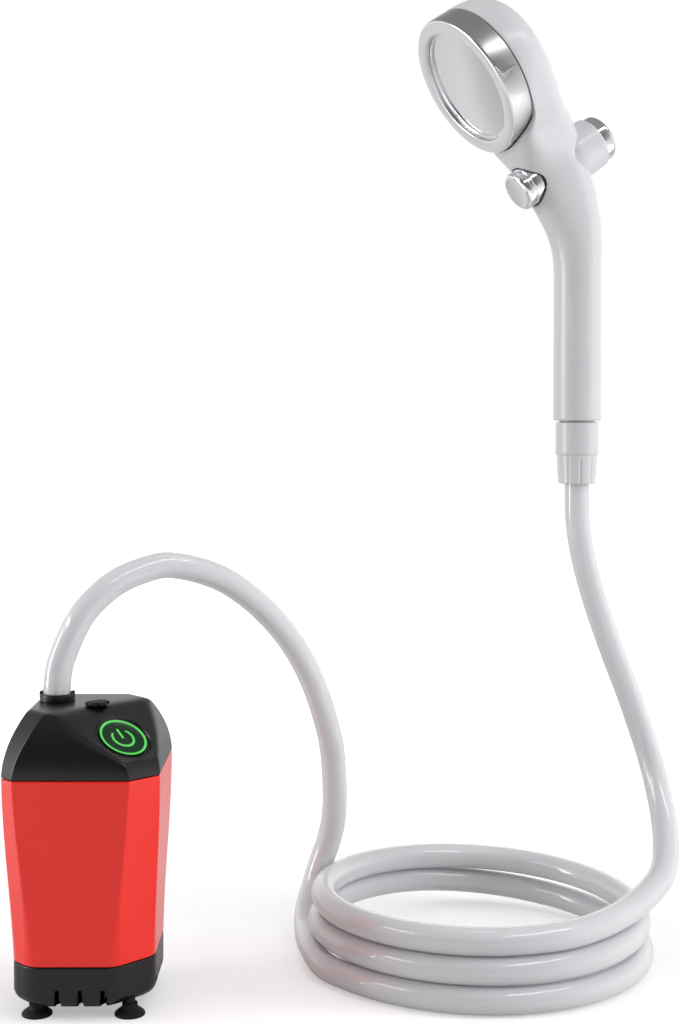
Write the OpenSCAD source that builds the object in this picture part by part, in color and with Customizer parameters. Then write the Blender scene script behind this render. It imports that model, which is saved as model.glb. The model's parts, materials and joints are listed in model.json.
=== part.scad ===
// Battery camp shower: submersible pump, coiled hose and hand shower with a push-through stop valve

/* [Pump body] */
// Width across the flat sides at the cap joint
body_w = 71; // [68:1:80]
// Width across the flat sides at the base joint
foot_w = 64.5; // [63:0.5:70]
// Height of the base's underside above the floor
foot_gap = 5.5; // [5:0.5:8]
// Height of the base cover
base_h = 19.5; // [18:0.5:23]
// Height of the red shell
shell_h = 85.5; // [80:0.5:100]
// Height of the cap, from its joint to the deck
cap_h = 28.5; // [27:0.5:34]
// Wall of the shell, the base and the cap
wall = 2.4; // [1.8:0.1:3]
// Leg of the wide corner facet under the button
front_cut = 12.4; // [9:0.1:15]
// Leg of the three narrow corner facets
side_cut = 5.8; // [5:0.1:9]
// How much wider each facet's leg gets towards the base
cut_spread = 3.8; // [2:0.1:5]
// Radius of the creases beside the facets
crease_r = 1.2; // [0.6:0.1:2]
// Radius that the creases fade into at the base
base_round = 12; // [8:0.5:13]
// Radius of the base's lower edge
base_edge = 7; // [5:0.5:8]

/* [Pump cap] */
// How far each side leans in by the deck
deck_inset = 9.8; // [8:0.1:11]
// Edge radius of the deck
deck_edge = 1.6; // [1:0.1:2.5]
// Angle of the button's axis above the horizontal
facet_tilt = 56; // [53:1:60]
// Distance of the button's centre from the plane of a side face, measured along the corner
button_back = 9.5; // [8.5:0.5:11]
// Depth of the button's centre below the deck
button_drop = 12; // [11:0.5:13]
// Wall left between the button's facet and the inside
facet_wall = 2.6; // [2.2:0.1:3.2]
// Diameter of the round recess in the facet
recess_d = 27; // [26:0.5:28]
// Depth of the round recess
recess_h = 1.4; // [1:0.1:1.6]
// Diameter of the power button
button_d = 23; // [20:0.5:23.5]
// Travel of the power button
button_travel = 1.2; // [0.8:0.1:1.6]
// Distance of the hose outlet from the pump's axis
outlet_reach = 18.4; // [18.2:0.1:19]
// Angle of the hose outlet round the pump's axis
outlet_turn = 154; // [148:1:160]
// Outside diameter of the outlet collar
collar_d = 16.6; // [16.4:0.2:18]
// Height of the outlet collar
collar_h = 3.5; // [2.5:0.5:6]
// Distance of the charge port from the pump's axis
port_reach = 6; // [4:0.5:6.5]
// Length of the port plug across the deck
plug_l = 11; // [10:0.5:13]
// Width of the port plug
plug_w = 7; // [6.5:0.5:8]
// Thickness of the port plug
plug_t = 1.7; // [1.4:0.1:2.4]

/* [Pump drive] */
// Height of the bulkhead's underside above the base joint
bulkhead_rise = 12; // [11:0.5:16]
// Thickness of the bulkhead
bulkhead_t = 3; // [2.5:0.5:4]
// Diameter of the motor
motor_d = 27; // [24:0.5:27.4]
// Length of the motor's steel can
motor_l = 33; // [28:1:42]
// Diameter of the motor's shaft
shaft_d = 3; // [2:0.1:3.5]
// Diameter of the impeller
impeller_d = 22; // [20:0.5:22.4]
// Height of the impeller's blades
blade_h = 5; // [4:0.5:6]
// Number of impeller blades
blade_count = 6; // [4:1:8]
// Wall of the pump chamber
volute_wall = 2; // [1.6:0.1:2.4]
// Outside diameter of the outlet riser
riser_d = 9; // [8.6:0.1:9.3]
// Bore of the outlet riser
riser_bore = 6.5; // [5:0.1:7]
// Diameter of a battery cell
cell_d = 18.3; // [17.5:0.1:18.6]
// Length of a battery cell
cell_l = 65; // [60:0.5:66]
// Distance of a battery cell from the pump's axis
cell_reach = 26; // [25.8:0.1:27]
// Diameter of the base screws
screw_d = 3; // [2.5:0.1:3.5]
// Distance of the base screws from the pump's axis
screw_reach = 22; // [21:0.5:23]

/* [Feet and inlet] */
// Diameter of a suction foot
foot_d = 14; // [12:0.5:15]
// Distance of a foot from the pump's axis
foot_reach = 30; // [28.5:0.5:31]
// Diameter of a foot's stem
stem_d = 5; // [4:0.5:6]
// Number of inlet notches on each side
notch_count = 3; // [2:1:4]
// Spacing of the inlet notches
notch_pitch = 10.3; // [9:0.1:12]
// Height of an inlet notch
notch_h = 6.5; // [5:0.5:8]
// Width of an inlet notch at its foot
notch_w = 3; // [2:0.5:4]

/* [Hand shower] */
// Diameter of the handle
handle_d = 25; // [23:0.5:26]
// Length of the straight handle
handle_l = 88; // [84:1:100]
// Radius of the bend between handle and neck
bend_r = 83; // [80:1:100]
// Angle of the spray axis below the horizontal
face_tilt = 33; // [31:1:35]
// Distance along the neck from the valve to the head's centre
neck_l = 60.2; // [60:0.2:68]
// Distance of the head's seam in front of the valve's middle
seam_out = 10.7; // [9:0.1:12]
// Depth of the neck in front of the valve's middle
neck_front = 21; // [19:0.5:21.5]
// Half the width of the neck at the valve
neck_a = 14.5; // [14:0.1:16]
// Diameter of the head
head_d = 75.8; // [74:0.2:80]
// Depth of the head's shell behind its seam
shell_depth = 25.5; // [25:0.5:28]
// Depth of the rotating bezel
bezel_depth = 13.5; // [13.5:0.5:16]
// Wall of the bezel
bezel_wall = 3; // [2.4:0.1:3.4]
// Width of the bezel's front ring
bezel_lip = 7.4; // [6.5:0.1:8]
// Diameter of the post that the bezel turns on
post_d = 10; // [8:0.5:11]
// Length of the bezel's thumb wedge along the rim
wedge_w = 10; // [8:0.5:12]
// Height of the thumb wedge above the bezel
wedge_h = 3; // [2:0.5:4]

/* [Stop valve] */
// Diameter of the valve's bore
valve_bore = 12; // [11:0.5:13]
// Diameter of the front button
knob_d = 21; // [20:0.5:21.5]
// Diameter of the recess round the front button
knob_well_d = 22.6; // [22.2:0.1:23]
// How far the front button stands out of the neck
knob_out = 6.4; // [5:0.2:8]
// Travel of the valve
valve_travel = 8; // [7:0.5:8]
// Diameter of the rear boss
boss_d = 28; // [27:0.5:29]
// How far the rear boss stands out of the neck
boss_out = 11; // [10.5:0.5:15]
// Diameter of the rear cap
rear_cap_d = 25; // [22:0.5:27]
// Thickness of the rear cap
rear_cap_t = 6.5; // [5:0.1:7]

/* [Hose and coupling] */
// Outside diameter of the hose
hose_d = 13; // [12:0.1:13.2]
// Diameter of the coupling nut's upper part
nut_d = 22.5; // [22:0.5:25]
// Length of the coupling nut's upper part
nut_top_l = 17.5; // [16:0.5:19]
// Diameter of the coupling nut's lower part
nut_low_d = 21; // [19:0.5:21.5]
// Length of the coupling nut's lower part
nut_low_l = 15; // [12:0.5:17]
// Diameter of the handle's threaded stub
stub_d = 17.6; // [17:0.1:18]
// Length of the handle's threaded stub
stub_l = 9.5; // [9:0.5:11]
// Middle radius of the hose coil's first turn
coil_r = 81.5; // [80:0.5:85]
// Rise of the hose coil in one turn
coil_pitch = 13.5; // [13.4:0.1:16]
// How much the coil's radius shrinks in one turn
coil_taper = 1.6; // [0:0.1:2]

/* [Hidden] */
$fn = 64;

// Clearances: running fits, parts slipped together, and seats between bodies
run_gap = 0.05;
slip_gap = 0.1;
seat_gap = 0.3;
// Overlap that fuses two shapes of one piece, and reach of a cut past a face
fuse = 0.5;
cut_over = 1;

// Places of the pump and the hand shower on the floor plan
pump_at = [-114, -42, 0];
handset_at = [129.5, 58, 271];
handset_turn = 200.5;

// Levels of the pump
base_z = foot_gap + base_h;
cap_z = base_z + shell_h;
deck_z = cap_z + cap_h;
bulkhead_z = base_z + bulkhead_rise;
dry_z = bulkhead_z + bulkhead_t;
floor_z = foot_gap + wall;
front_turn = -45;
cap_lean = 1.7;
deck_cut_spread = 4;
corner_steps = 3;
side_count = 4;
quarter = 90;

// Loft helpers
function unit(v) = v / norm(v);
function mix(a, b, t) = a + (b - a) * t;
function limit01(t) = max(0, min(1, t));
function ease(t) = let (c = limit01(t)) c * c * (3 - 2 * c);
function arc_inset(r, d) = let (c = min(r, max(0, d))) r - sqrt(r * r - c * c);

// Rounds one corner of an outline with a curve from edge to edge
function soft_corner(before, at, after, r) =
    let (l = r * tan(quarter / 4), a = at + l * unit(before - at), b = at + l * unit(after - at))
    [for (i = [0:corner_steps]) let (t = i / corner_steps)
        (1 - t) * (1 - t) * a + 2 * t * (1 - t) * at + t * t * b];

// Square outline with one wide and three narrow corner facets
function plan(w, wide, narrow, r) =
    let (h = w / 2, n = narrow, f = wide,
        v = [[h, h - n], [h - n, h], [n - h, h], [-h, h - n],
            [-h, n - h], [n - h, -h], [h - f, -h], [h, f - h]])
    [for (i = [0:7]) each soft_corner(v[(i + 7) % 8], v[i], v[(i + 1) % 8], r)];

// The pump's outline at a height, moved in by a wall
function inset_cut(cut, inset) = cut - inset * (2 - sqrt(2));
function base_plan(z, inset) =
    let (in = inset + arc_inset(base_edge, foot_gap + base_edge - z))
    plan(foot_w - 2 * in, inset_cut(front_cut + cut_spread, inset),
        inset_cut(side_cut + cut_spread, inset), base_round - inset);
function shell_plan(z, inset) =
    let (t = limit01((z - base_z) / shell_h), fade = pow(1 - t, 4), open = cut_spread * (1 - t))
    plan(mix(foot_w, body_w, ease(t)) - 2 * inset, inset_cut(front_cut + open, inset),
        inset_cut(side_cut + open, inset), mix(crease_r, base_round - inset, fade));
function cap_plan(z, inset) =
    let (s = limit01((z - cap_z) / cap_h), lean = deck_inset * pow(s, cap_lean),
        edge = arc_inset(deck_edge, z - deck_z + deck_edge))
    plan(body_w - 2 * (inset + lean + edge), inset_cut(front_cut + deck_cut_spread * s, inset),
        inset_cut(side_cut + deck_cut_spread * s, inset), crease_r);

function lift(outline, z) = [for (p = outline) [p.x, p.y, z]];
function steps(a, b, n) = [for (i = [0:n]) mix(a, b, i / n)];

// Closed skin through rings of equally many points
module loft(rings) {
    n = len(rings[0]);
    last = (len(rings) - 1) * n;
    sides = [for (i = [0:len(rings) - 2]) for (j = [0:n - 1])
        let (a = i * n + j, b = i * n + (j + 1) % n) each [[a, a + n, b + n], [a, b + n, b]]];
    floor_fan = [for (j = [1:n - 2]) [0, j, j + 1]];
    top_fan = [for (j = [1:n - 2]) [last, last + j + 1, last + j]];
    polyhedron(points = [for (r = rings) each r], faces = concat(sides, floor_fan, top_fan));
}

// Ring of rectangular section
module tube(outer, inner, z0, z1) {
    translate([0, 0, z0]) difference() {
        cylinder(d = outer, h = z1 - z0);
        translate([0, 0, -cut_over]) cylinder(d = inner, h = z1 - z0 + 2 * cut_over);
    }
}

// Plain cylinder between two heights
module rod(d, z0, z1) {
    translate([0, 0, z0]) cylinder(d = d, h = z1 - z0);
}

// Round rubber ring
module o_ring(mid_r, wire_r) {
    rotate_extrude() translate([mid_r, 0]) circle(r = wire_r);
}

// Rectangle with round corners
module soft_rectangle(l, w, r) {
    square([l - 2 * r, w], center = true);
    square([l, w - 2 * r], center = true);
    for (x = [-1, 1], y = [-1, 1]) translate([x * (l / 2 - r), y * (w / 2 - r)]) circle(r = r);
}

module at_pump() {
    translate(pump_at) children();
}

// Four places round the pump's axis
module each_side(turn, reach) {
    for (i = [0:side_count - 1]) rotate(turn + i * quarter) translate([reach, 0, 0]) children();
}

// Pump shell and base
foot_pad_rim = 2.5;
foot_pad_d = stem_d + 2 * foot_pad_rim;
foot_pad_step = 1.2;
foot_pad_h = wall + foot_pad_step;
screw_post_wall = 2;
screw_post_d = screw_d + 2 * screw_post_wall;
screw_head_d = screw_d * 2;
screw_head_h = 2.2;
screw_well_h = screw_head_h + 0.8;
screw_grip = 9;
ledge_w = 2;
tongue_h = 4;
tongue_t = 1.6;
seal_t = 1.5;
ledge_h = 2.5;
ledge_z = cap_z - tongue_h - seal_t;
seal_bore = 10;

module body_shell() {
    color("#d9372a") at_pump() difference() {
        union() {
            difference() {
                loft([for (t = [0, 0.04, 0.09, 0.16, 0.25, 0.38, 0.55, 0.75, 1])
                    let (z = base_z + t * shell_h) lift(shell_plan(z, 0), z)]);
                loft([for (z = steps(dry_z, cap_z + cut_over, 5)) lift(shell_plan(z, wall), z)]);
                loft([for (z = steps(base_z - cut_over, bulkhead_z, 3)) lift(shell_plan(z, wall), z)]);
            }
            each_side(0, screw_reach) rod(screw_post_d, base_z, bulkhead_z + fuse);
            translate([0, 0, ledge_z - ledge_h]) linear_extrude(ledge_h) difference() {
                polygon(shell_plan(ledge_z, wall - fuse));
                polygon(shell_plan(ledge_z, wall + ledge_w));
            }
        }
        rod(seal_bore, bulkhead_z - cut_over, dry_z + cut_over);
        at_outlet() rod(riser_d + 2 * slip_gap, bulkhead_z - cut_over, dry_z + cut_over);
        each_side(0, screw_reach) rod(screw_d + slip_gap, base_z - cut_over, base_z + screw_grip);
    }
}

module cap_seal() {
    color("#2b2b2d") at_pump() translate([0, 0, ledge_z]) linear_extrude(seal_t) difference() {
        polygon(shell_plan(ledge_z, wall + seat_gap));
        polygon(shell_plan(ledge_z, wall + ledge_w));
    }
}

// Wedge-shaped inlet notch, narrower at its top
module notch() {
    rotate([quarter, 0, quarter]) linear_extrude(base_edge + wall)
        polygon([[-notch_w / 2, -cut_over], [notch_w / 2, -cut_over],
            [notch_w / 4, notch_h], [-notch_w / 4, notch_h]]);
}

module base_cover() {
    color("#232425") at_pump() difference() {
        union() {
            difference() {
                loft([for (z = concat([for (a = [0:15:90]) foot_gap + base_edge * (1 - cos(a))], [base_z]))
                    lift(base_plan(z, 0), z)]);
                loft([for (z = steps(floor_z, base_z + cut_over, 5)) lift(base_plan(z, wall), z)]);
            }
            each_side(front_turn, foot_reach) rod(foot_pad_d, foot_gap, foot_gap + foot_pad_h);
            each_side(0, screw_reach) rod(screw_post_d, foot_gap + wall / 2, base_z);
        }
        each_side(front_turn, foot_reach) {
            rod(stem_d + 2 * slip_gap, -cut_over, base_z);
            rod(bulb_d + 2 * slip_gap, bulb_z - slip_gap / 2, bulb_z + bulb_h + slip_gap);
        }
        each_side(0, screw_reach) {
            rod(screw_d + 2 * slip_gap, 0, base_z + cut_over);
            rod(screw_head_d + 2 * seat_gap, 0, foot_gap + screw_well_h);
        }
        for (i = [0:side_count - 1]) rotate(i * quarter)
            for (k = [0:notch_count - 1])
                translate([foot_w / 2 - base_edge - wall, (k - (notch_count - 1) / 2) * notch_pitch,
                    foot_gap]) notch();
    }
}

module base_screws() {
    color("silver") at_pump() each_side(0, screw_reach) {
        rod(screw_head_d, foot_gap + screw_well_h - screw_head_h, foot_gap + screw_well_h);
        rod(screw_d, foot_gap + screw_well_h - fuse, base_z + screw_grip - fuse);
    }
}

// Suction foot: thin cup, neck, and a bulb above the base's floor
cup_lip = 0.5;
cup_hollow = 2.2;
cup_slope_h = 2.4;
neck_extra = 1;
bulb_h = 2.8;
bulb_d = stem_d + 2 * cup_lip;
bulb_z = foot_gap + foot_pad_h + slip_gap;

module suction_foot(i) {
    r = foot_d / 2;
    s = stem_d / 2;
    color("#1d1e1f") at_pump() rotate(front_turn + i * quarter) translate([foot_reach, 0, 0])
        rotate_extrude() polygon([[0, cup_hollow], [r - 4 * cup_lip, cup_lip], [r - cup_lip, 0], [r, 0],
            [r, 2 * cup_lip], [r - 3 * cup_lip, cup_slope_h], [s + neck_extra, foot_gap - 4 * cup_lip],
            [s + neck_extra, foot_gap], [s, foot_gap], [s, bulb_z], [bulb_d / 2, bulb_z + cup_lip],
            [bulb_d / 2, bulb_z + bulb_h / 2], [s - cup_lip, bulb_z + bulb_h], [0, bulb_z + bulb_h]]);
}

// Pump chamber, from the bulkhead down
impeller_gap = 0.8;
chamber_gap = 1.5;
chamber_d = impeller_d + 2 * chamber_gap;
volute_d = chamber_d + 2 * volute_wall;
chamber_z = bulkhead_z - volute_wall;
impeller_top = chamber_z - impeller_gap;
shroud_t = 1.5;
hub_d = 8;
impeller_z = impeller_top - shroud_t - blade_h;
cover_top = impeller_z - impeller_gap;
cover_t = 2.5;
inlet_d = 11;
shaft_hole_gap = 1;
shaft_hole_d = shaft_d + 2 * shaft_hole_gap;
duct_d = riser_bore - 1;
duct_wall = 1.2;
duct_z = impeller_z + blade_h / 2 + 1;
elbow_floor = duct_z - riser_d / 2 - fuse / 2;
blade_t = 1.2;
blade_sweep = 70;
blade_steps = 6;

module at_outlet() {
    rotate(outlet_turn) translate([outlet_reach, 0, 0]) children();
}

// Duct lying from the pump's axis to the outlet
module duct(d, from) {
    rotate(outlet_turn) translate([from, 0, duct_z]) rotate([0, quarter, 0])
        cylinder(d = d, h = outlet_reach - from);
}

module volute_housing() {
    color("#3a3b3d") at_pump() difference() {
        union() {
            rod(volute_d, cover_top, bulkhead_z);
            at_outlet() rod(riser_d, elbow_floor, bulkhead_z);
            duct(duct_d + 2 * duct_wall, chamber_d / 2);
        }
        rod(chamber_d, cover_top - cut_over, chamber_z);
        rod(shaft_hole_d, chamber_z - cut_over, bulkhead_z + cut_over);
        at_outlet() rod(riser_bore, duct_z, bulkhead_z + cut_over);
        duct(duct_d, chamber_d / 2 - cut_over);
    }
}

module volute_cover() {
    color("#3a3b3d") at_pump() tube(volute_d, inlet_d, cover_top - cover_t, cover_top);
}

// One backward-swept blade: a spiral band from the hub to the rim
module blade() {
    function spiral(i, side) = let (t = i / blade_steps, r = mix(hub_d / 2 - fuse, impeller_d / 2 - fuse, t),
        a = -blade_sweep * t + side * blade_t / 2 / r * 180 / PI) r * [cos(a), sin(a)];
    polygon(concat([for (i = [0:blade_steps]) spiral(i, -1)],
        [for (i = [blade_steps:-1:0]) spiral(i, 1)]));
}

module impeller() {
    color("#e4e4e0") at_pump() difference() {
        union() {
            rod(hub_d, impeller_z, impeller_top);
            rod(impeller_d, impeller_top - shroud_t, impeller_top);
            translate([0, 0, impeller_z]) linear_extrude(blade_h + fuse)
                for (i = [0:blade_count - 1]) rotate(i * 360 / blade_count) blade();
        }
        rod(shaft_d, impeller_z - cut_over, impeller_top + cut_over);
    }
}

shaft_in_motor = 12;

module motor_shaft() {
    color("silver") at_pump() rod(shaft_d, impeller_z, dry_z + shaft_in_motor);
}

module shaft_seal() {
    color("#2b2b2d") at_pump() tube(seal_bore - slip_gap, shaft_d + 2 * run_gap, bulkhead_z, dry_z);
}

// Filter cup between the base's floor and the pump chamber
filter_wall = 1.4;
filter_inset = 1;
filter_d = volute_d - 2 * filter_inset;
filter_slots = 12;
filter_slot_w = 2;
filter_rim = 1.6;

module filter_cup() {
    top = cover_top - cover_t;
    color("#4a4b4d") at_pump() difference() {
        tube(filter_d, filter_d - 2 * filter_wall, floor_z, top);
        for (i = [0:filter_slots - 1]) rotate(i * 360 / filter_slots)
            translate([0, -filter_slot_w / 2, floor_z + filter_rim])
                cube([volute_d, filter_slot_w, top - floor_z - 2 * filter_rim]);
    }
}

// Motor, cells and their cradle
end_cap_h = 5;
terminal = [2.4, 0.5, 4];
terminal_reach = 8;
cradle_t = 2;
cradle_gap = 0.6;
cup_wall = 1.2;
cup_h = 10;
link_w = 8;
link_t = 0.4;

module motor_can() {
    color("silver") at_pump() tube(motor_d, shaft_d + 2 * run_gap, dry_z, dry_z + motor_l);
}

module motor_end_cap() {
    z = dry_z + motor_l;
    color("#f0f0ea") at_pump() {
        rod(motor_d - 1, z, z + end_cap_h);
        for (s = [-1, 1])
            translate([s * terminal_reach - terminal.x / 2, -terminal.y / 2, z + end_cap_h - fuse])
            cube(terminal);
    }
}

// The two corners beside the button hold the cells
module each_cell() {
    for (s = [-1, 1]) rotate(front_turn + s * quarter) translate([cell_reach, 0, 0]) children();
}

module cell_cradle() {
    color("#505255") at_pump() difference() {
        union() {
            translate([0, 0, dry_z]) linear_extrude(cradle_t) polygon(shell_plan(dry_z, wall + cradle_gap));
            each_cell() rod(cell_d + 2 * seat_gap + 2 * cup_wall, dry_z, dry_z + cradle_t + cup_h);
        }
        rod(motor_d + 2 * seat_gap, dry_z - cut_over, dry_z + cradle_t + cup_h + cut_over);
        each_cell() rod(cell_d + 2 * slip_gap, dry_z + cradle_t, dry_z + cradle_t + cup_h + cut_over);
        at_outlet() rod(riser_d + 2 * seat_gap, dry_z - cut_over, dry_z + cradle_t + cut_over);
    }
}

module battery_cells() {
    color("#2f6fb0") at_pump() each_cell() rod(cell_d, dry_z + cradle_t, dry_z + cradle_t + cell_l);
}

module cell_link() {
    z = dry_z + cradle_t + cell_l;
    color("silver") at_pump() rotate(front_turn + quarter) translate([0, 0, z])
        linear_extrude(link_t) soft_rectangle(2 * cell_reach + link_w, link_w, link_w / 4);
}

// Outlet: riser through the dry space, and the collar on the deck
collar_lug_d = 4;
collar_lug_h = 1;
collar_lug_reach = (collar_d - collar_lug_d) / 2 + fuse;

module outlet_riser() {
    color("#3a3b3d") at_pump() at_outlet() tube(riser_d, riser_bore, bulkhead_z, deck_z);
}

module outlet_collar() {
    color("#1d1e1f") at_pump() at_outlet() difference() {
        union() {
            rod(collar_d, deck_z, deck_z + collar_h);
            for (s = [-1, 1]) rotate(-outlet_turn) translate([s * collar_lug_reach, 0, 0])
                rod(collar_lug_d, deck_z, deck_z + collar_h + collar_lug_h);
        }
        rod(hose_d + 2 * seat_gap, deck_z - cut_over, deck_z + collar_h + collar_lug_h + cut_over);
    }
}

// Frame of the button's facet: +Z leaves the facet along the button's axis
module at_facet() {
    rotate(front_turn) translate([body_w / 2 - button_back, 0, deck_z - button_drop])
        rotate([0, quarter - facet_tilt, 0]) children();
}

// Everything in front of the facet, or of a plane behind it
module facet_block(depth) {
    at_facet() translate([-body_w, -body_w, -depth]) cube(2 * body_w);
}

// Button stack behind the facet
sleeve_wall = 0.8;
sleeve_d = button_d + 2 * run_gap + 2 * sleeve_wall;
button_sink = 0.3;
button_t = 3.5;
plunger_d = 5;
plunger_l = 2.5;
light_t = 0.25;
switch_w = 6;
switch_h = 3.5;
board_t = 1.6;
ring_gap = 0.75;
ring_w = 1;
symbol_d = 11;
symbol_open = 70;
plunger_z = -button_sink - button_t - plunger_l;
switch_z = plunger_z - button_travel - slip_gap;
board_z = switch_z - switch_h;

// Frame of the charge port: +X points to the button's corner, +Z up from the deck
module at_port() {
    rotate(front_turn) translate([port_reach, 0, deck_z]) children();
}

// Charge port under its plug
pad_h = 0.9;
pad_side = 1.2;
socket_l = 8.4;
socket_w = 3.2;
socket_h = 6;
socket_wall = 0.5;
barrel_d = plug_t;
barrel_x = -plug_w / 2;
tab_l = 2;
tab_w = 4;
port_floor = pad_h + slip_gap;

module top_cap() {
    color("#232425") at_pump() difference() {
        union() {
            difference() {
                loft([for (z = concat(steps(cap_z, deck_z - deck_edge, 6),
                        [for (a = [30, 60, 90]) deck_z - deck_edge * (1 - sin(a))]))
                    lift(cap_plan(z, 0), z)]);
                facet_block(0);
                difference() {
                    loft([for (z = steps(cap_z - cut_over, deck_z - wall, 5)) lift(cap_plan(z, wall), z)]);
                    facet_block(facet_wall);
                }
            }
            translate([0, 0, cap_z - tongue_h]) linear_extrude(tongue_h + fuse) difference() {
                polygon(shell_plan(cap_z - tongue_h, wall + seat_gap));
                polygon(shell_plan(cap_z - tongue_h, wall + seat_gap + tongue_t));
            }
            translate([0, 0, cap_z]) linear_extrude(fuse) difference() {
                polygon(shell_plan(cap_z, wall / 2));
                polygon(shell_plan(cap_z, wall + seat_gap + tongue_t));
            }
        }
        at_facet() {
            rod(recess_d, -recess_h, cut_over);
            rod(sleeve_d + 2 * slip_gap, -facet_wall - cut_over, cut_over);
        }
        at_outlet() rod(riser_d + 2 * slip_gap, deck_z - 2 * wall, deck_z + cut_over);
        at_port() {
            translate([0, 0, -port_floor]) linear_extrude(port_floor + cut_over)
                soft_rectangle(plug_w - pad_side, plug_l - pad_side, pad_side);
            translate([0, 0, -2 * wall]) linear_extrude(2 * wall)
                square([socket_w + 2 * slip_gap, socket_l + 2 * slip_gap], center = true);
        }
    }
}

module button_frame() {
    color("#161718") at_pump() at_facet() {
        tube(recess_d - 2 * slip_gap, button_d + 2 * run_gap, -recess_h, -button_sink);
        tube(sleeve_d, button_d + 2 * run_gap, board_z, -recess_h + slip_gap);
    }
}

module power_button() {
    color("#0e2413") at_pump() at_facet() {
        rod(button_d, -button_sink - button_t, -button_sink);
        rod(plunger_d, plunger_z, -button_sink - button_t + fuse);
    }
}

// Lit ring and stand-by sign on the button's face
module button_light() {
    ring_d = button_d - 2 * ring_gap;
    color("#50d860") at_pump() at_facet() translate([0, 0, -button_sink]) linear_extrude(light_t) {
        difference() {
            circle(d = ring_d);
            circle(d = ring_d - 2 * ring_w);
        }
        difference() {
            circle(d = symbol_d);
            circle(d = symbol_d - 2 * ring_w);
            polygon([[0, 0], symbol_d * [-cos(symbol_open / 2), -sin(symbol_open / 2)],
                symbol_d * [-cos(symbol_open / 2), sin(symbol_open / 2)]]);
        }
        translate([-symbol_d / 2, -ring_w / 2]) square([symbol_d / 2, ring_w]);
    }
}

module tact_switch() {
    color("#2b2b2d") at_pump() at_facet() {
        translate([-switch_w / 2, -switch_w / 2, board_z]) cube([switch_w, switch_w, switch_h * 0.7]);
        rod(plunger_d - 1.5, board_z, switch_z);
    }
}

module control_board() {
    color("#1d6b3a") at_pump() at_facet() rod(sleeve_d, board_z - board_t, board_z);
}

module charge_socket() {
    color("silver") at_pump() at_port() translate([0, 0, -port_floor - socket_h]) linear_extrude(socket_h)
        difference() {
            square([socket_w, socket_l], center = true);
            square([socket_w - 2 * socket_wall, socket_l - 2 * socket_wall], center = true);
        }
}

// Rubber plug: lid, pad in the port, finger tab and hinge roll
module port_plug() {
    lid_z = run_gap;
    color("#1d1e1f") at_pump() at_port() {
        translate([0, 0, lid_z]) linear_extrude(plug_t) soft_rectangle(plug_w, plug_l, plug_t);
        translate([0, 0, -pad_h]) linear_extrude(pad_h + lid_z + fuse)
            soft_rectangle(plug_w - pad_side - 2 * seat_gap, plug_l - pad_side - 2 * seat_gap, pad_side);
        translate([plug_w / 2 + tab_l / 2 - fuse, 0, lid_z + plug_t / 2]) linear_extrude(plug_t / 2)
            soft_rectangle(tab_l + fuse, tab_w, fuse);
        translate([barrel_x, 0, lid_z + barrel_d / 2]) rotate([quarter, 0, 0])
            cylinder(d = barrel_d, h = plug_l - 2 * plug_t, center = true);
    }
}

// Hand shower frames: handle foot, valve axis and spray face, with +Z out of the face
handle_r = handle_d / 2;
head_r = head_d / 2;
neck_back = shell_depth - seam_out;
spine_n = [cos(face_tilt), 0, -sin(face_tilt)];
spine_u = [sin(face_tilt), 0, cos(face_tilt)];
valve_at = [bend_r * (1 - cos(face_tilt)), 0, handle_l + bend_r * sin(face_tilt)];
seam_at = valve_at + neck_l * spine_u + seam_out * spine_n;
knob_front = neck_front + knob_out;
knob_l = 15.4;

module at_handset() {
    translate(handset_at) rotate(handset_turn) children();
}

module at_face() {
    at_handset() translate(seam_at) rotate([0, quarter + face_tilt, 0]) children();
}

module at_valve() {
    at_handset() translate(valve_at) rotate([0, quarter + face_tilt, 0]) children();
}

// Section of the hand shower: its middle, lean, half width, depth before and behind, and squareness
section_points = 36;
function powered(v, p) = sign(v) * pow(abs(v), 2 / p);
function section(mid, lean, a, front, back, p) =
    let (n = [cos(lean), 0, -sin(lean)])
    [for (i = [0:section_points - 1]) let (q = i * 360 / section_points, c = powered(cos(q), p))
        mid + (c > 0 ? front : back) * c * n + [0, a * powered(sin(q), p), 0]];

// Handle and bend
foot_round = 0.9;
bend_steps = 6;
neck_square = 2.3;
head_square = 3;
front_crown = 0.25;
chin_fade = 12;
swell_lead = 0.25;
swell_span = 1.1;
swell_l = 12;
gusset = 3;
gusset_at = 27;
gusset_rise = 18;
gusset_fall = 10;
function handle_section(z, r) = section([0, 0, z], 0, r, r, r, 2);
function front_depth(t) = mix(handle_r, neck_front, ease((t + swell_lead) / swell_span));
function bend_section(t) =
    let (lean = face_tilt * t)
    section([bend_r * (1 - cos(lean)), 0, handle_l + bend_r * sin(lean)], lean,
        mix(handle_r, neck_a, ease(t)), front_depth(t), mix(handle_r, neck_back, t),
        mix(2, neck_square, t));

// Neck and head: the widest line moves from the middle of the neck to the seam of the head, and the
// neck's front runs on as a chin up to the bezel, with a swelling behind that leads to the valve boss
function head_width(t) =
    let (disc = sqrt(max(0, head_r * head_r - t * t)), stem = neck_a * (1 - ease(t / head_r + 1)))
    pow(pow(disc, 4) + pow(stem, 4), 1 / 4);
function head_section(t) =
    let (k = ease((t + neck_l) / (neck_l - head_r)),
        crown = t > 0 ? pow(1 - pow(t / head_r, head_square), 1 / head_square) : 1,
        sunk = mix(seam_out, front_crown, k),
        chin = (neck_front - seam_out) * (1 - ease((t + head_r) / chin_fade)),
        swell = gusset * ease((-t - gusset_at) / gusset_rise) * ease((t + neck_l) / gusset_fall))
    section(seam_at + t * spine_u - sunk * spine_n, face_tilt, head_width(t), sunk + chin,
        max(front_crown, shell_depth * crown - sunk + swell), mix(neck_square, head_square, k));

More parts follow.
